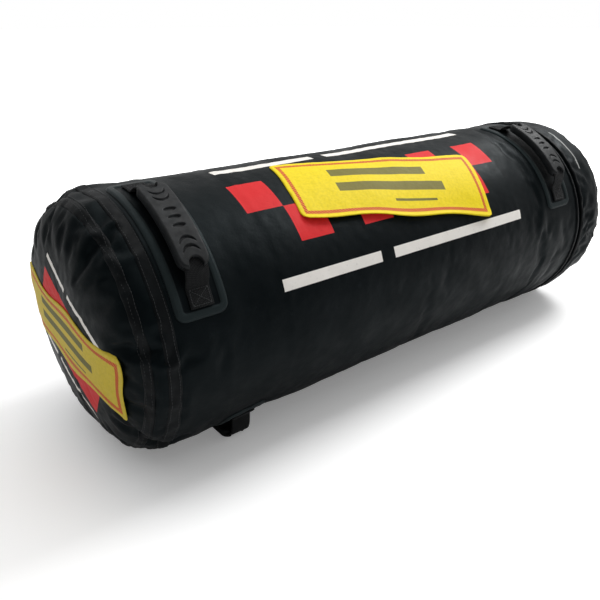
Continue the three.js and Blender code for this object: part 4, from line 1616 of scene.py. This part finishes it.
def blanket():
    """A flat-folded cloth rolled up along the bag, flattened where it lies on the bag's belly."""
    low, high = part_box("blanket_roll")
    outer = (high.y - low.y) / 2 - 0.001
    turns = (outer - CORE_RADIUS) / LAYER_PITCH
    share = np.linspace(0, 1, int(turns * 56))[:, None]
    angle = share * turns * 360
    radius = CORE_RADIUS + (outer - CORE_RADIUS) * share
    ends = np.array([0, 0.0015, 0.004, 0.009, 0.10, 0.5, 0.90, 0.991, 0.996, 0.9985, 1.0])
    swell = np.array([0.35, 0.8, 0.97, 1, 1, 1, 1, 1, 0.97, 0.8, 0.35])
    ragged = 0.004 * np.sin(np.radians(angle * 0.37)) + 0.003 * np.sin(np.radians(angle * 1.7 + 40))
    xs = low.x + BLANKET_END_INSET + ends * (high.x - low.x - 2 * BLANKET_END_INSET)
    xs = xs + (ends - 0.5) * 2 * ragged
    half = LAYER_HALF_THICKNESS
    grids = []
    for side in (half, -half):
        face_radius = radius + side * swell
        grid = around(xs, angle, face_radius)
        floor = low.z + 0.0005 + half + 0.92 * (outer - face_radius)
        grid[..., 2] = np.maximum(grid[..., 2], floor)
        grids.append(grid)
    obj = slab("blanket_spiral", *grids)
    along = np.radians(angle) * radius + 0 * xs
    nearest_uv(obj, grids[0], np.stack([along, xs], axis=-1))
    stand_for(obj, BLANKET_CLOTH, "blanket_roll")


def blanket_bands():
    """Webbing round the roll near each of its ends."""
    for node in ("blanket_band_closed_end", "blanket_band_lid_end"):
        low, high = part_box(node)
        centre = (low.x + high.x) / 2
        radius = (high.y - low.y) / 2 - 0.001
        path = []
        for angle in ANGLES[::2]:
            point = around(centre, angle, radius)
            point[2] = max(point[2], low.z + 0.001)
            path.append((point, (1, 0, 0), radial(angle)))
        profile = rounded_bar(high.x - low.x, BAND_THICKNESS, 0.0007, 2)
        obj = tube_along(f"{node}_webbing", path, profile, closed=True)
        places = [vertex.co for vertex in obj.data.vertices]
        set_uv(obj, [(math.atan2(p.z - AXIS_Z, p.y) * radius, p.x - centre) for p in places])
        stand_for(obj, BLANKET_WEBBING, node)


def pull_loops():
    """Webbing that stands out of the roll's open end in a bow."""
    for node in ("blanket_pull_loop_front", "blanket_pull_loop_back"):
        low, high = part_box(node)
        centre = (low + high) / 2
        reach = high.x - low.x - 0.002
        spread = (high.z - low.z) / 2 - 0.001
        path = []
        for t in np.linspace(-1, 1, 41):
            out = reach * math.cos(t * math.pi / 2) ** 0.8 if abs(t) < 1 else 0.0
            rise = spread * math.sin(t * math.pi / 2) * (0.55 + 0.45 * abs(t) ** 3)
            path.append(np.array([low.x + 0.0012 + out, centre.y, centre.z + rise]))
        tangent = np.gradient(np.array(path), axis=0)
        tangent /= np.linalg.norm(tangent, axis=1, keepdims=True)
        frames = [(p, (0, 1, 0), np.cross(t, (0, 1, 0))) for p, t in zip(path, tangent)]
        profile = rounded_bar(high.y - low.y, LOOP_THICKNESS, 0.0009, 2)
        obj = tube_along(f"{node}_webbing", frames, profile)
        set_uv(obj, [(v.co.z, v.co.y - centre.y) for v in obj.data.vertices])
        stand_for(obj, BLANKET_WEBBING, node)


# ---- Stage -----------------------------------------------------------------------


def studio_floor():
    """A pale floor that turns pure white for the camera away from the bag."""
    g = Graph("studio_paper", roughness=0.9)
    g.set("Base Color", g.mix(g.noise(3, 2), linear(250, 250, 250), linear(253, 253, 253)))
    x, y, _ = g.position()
    far = g.range(g.length(x, y), 0.7, 1.7, 0.2, 1.0)
    seen = g.node("ShaderNodeLightPath").outputs["Is Camera Ray"]
    g.set("Emission Color", (1, 1, 1, 1))
    g.set("Emission Strength", g.math("MULTIPLY", far, seen))
    reach = 40
    drop = -0.0005
    corners = [(x, y, drop) for y in (-reach, reach) for x in (-reach, reach)]
    paint(mesh_object("studio_floor", corners, [[0, 1, 3, 2]]), g.material)


def area_light(name, place, target, size, power, colour=(1, 1, 1)):
    data = bpy.data.lights.new(name, "AREA")
    data.shape = "RECTANGLE"
    data.size, data.size_y = size
    data.energy = power
    data.color = colour
    lamp = bpy.data.objects.new(name, data)
    lamp.location = place
    lamp.rotation_euler = (Vector(target) - Vector(place)).to_track_quat("-Z", "Y").to_euler()
    bpy.context.scene.collection.objects.link(lamp)


def studio_air():
    """White to the camera, and brighter over the back of the bag than over its front."""
    world = bpy.data.worlds.new("studio_air")
    world.use_nodes = True
    nodes, links = world.node_tree.nodes, world.node_tree.links
    background = next(n for n in nodes if n.type == "BACKGROUND")
    background.inputs["Color"].default_value = (1, 1, 1, 1)
    facing = nodes.new("ShaderNodeVectorMath")
    facing.operation = "DOT_PRODUCT"
    facing.inputs[1].default_value = (0.45, 0.45, 0.77)
    links.new(nodes.new("ShaderNodeTexCoord").outputs["Generated"], facing.inputs[0])
    light = nodes.new("ShaderNodeMapRange")
    light.interpolation_type = "SMOOTHSTEP"
    links.new(facing.outputs["Value"], light.inputs["Value"])
    for name, number in (("From Min", -0.4), ("From Max", 0.8), ("To Min", 0.04), ("To Max", 0.8)):
        light.inputs[name].default_value = number
    seen = nodes.new("ShaderNodeMath")
    seen.operation = "MAXIMUM"
    links.new(light.outputs["Result"], seen.inputs[0])
    links.new(nodes.new("ShaderNodeLightPath").outputs["Is Camera Ray"], seen.inputs[1])
    links.new(seen.outputs[0], background.inputs["Strength"])
    return world


def studio():
    studio_floor()
    scene = bpy.context.scene
    scene.world = studio_air()
    area_light("overhead", (0.2, 0.3, 2.6), (0, 0, 0.15), (2.4, 1.6), 22)
    area_light("far_side", (1.7, -0.1, 1.9), (0, 0, 0.2), (0.8, 0.8), 34)
    scene.view_settings.view_transform = "Standard"


def camera():
    data = bpy.data.cameras.new("camera")
    data.lens = CAMERA_LENS
    data.sensor_width = 36
    eye = bpy.data.objects.new("camera", data)
    eye.location = CAMERA_PLACE
    eye.rotation_mode = "QUATERNION"
    eye.rotation_quaternion = Vector(CAMERA_DIRECTION).to_track_quat("-Z", "Y")
    bpy.context.scene.collection.objects.link(eye)
    bpy.context.scene.camera = eye


# ---- The scene -------------------------------------------------------------------

bag_skin()
skin_tapes()
lap_seam()
seam_stitching()
hem("mouth_hem")
hem("lid_hem")
zip_parts()
lid_hinge()
handles()
body_label()
end_label()
blanket()
blanket_bands()
pull_loops()
studio()
camera()
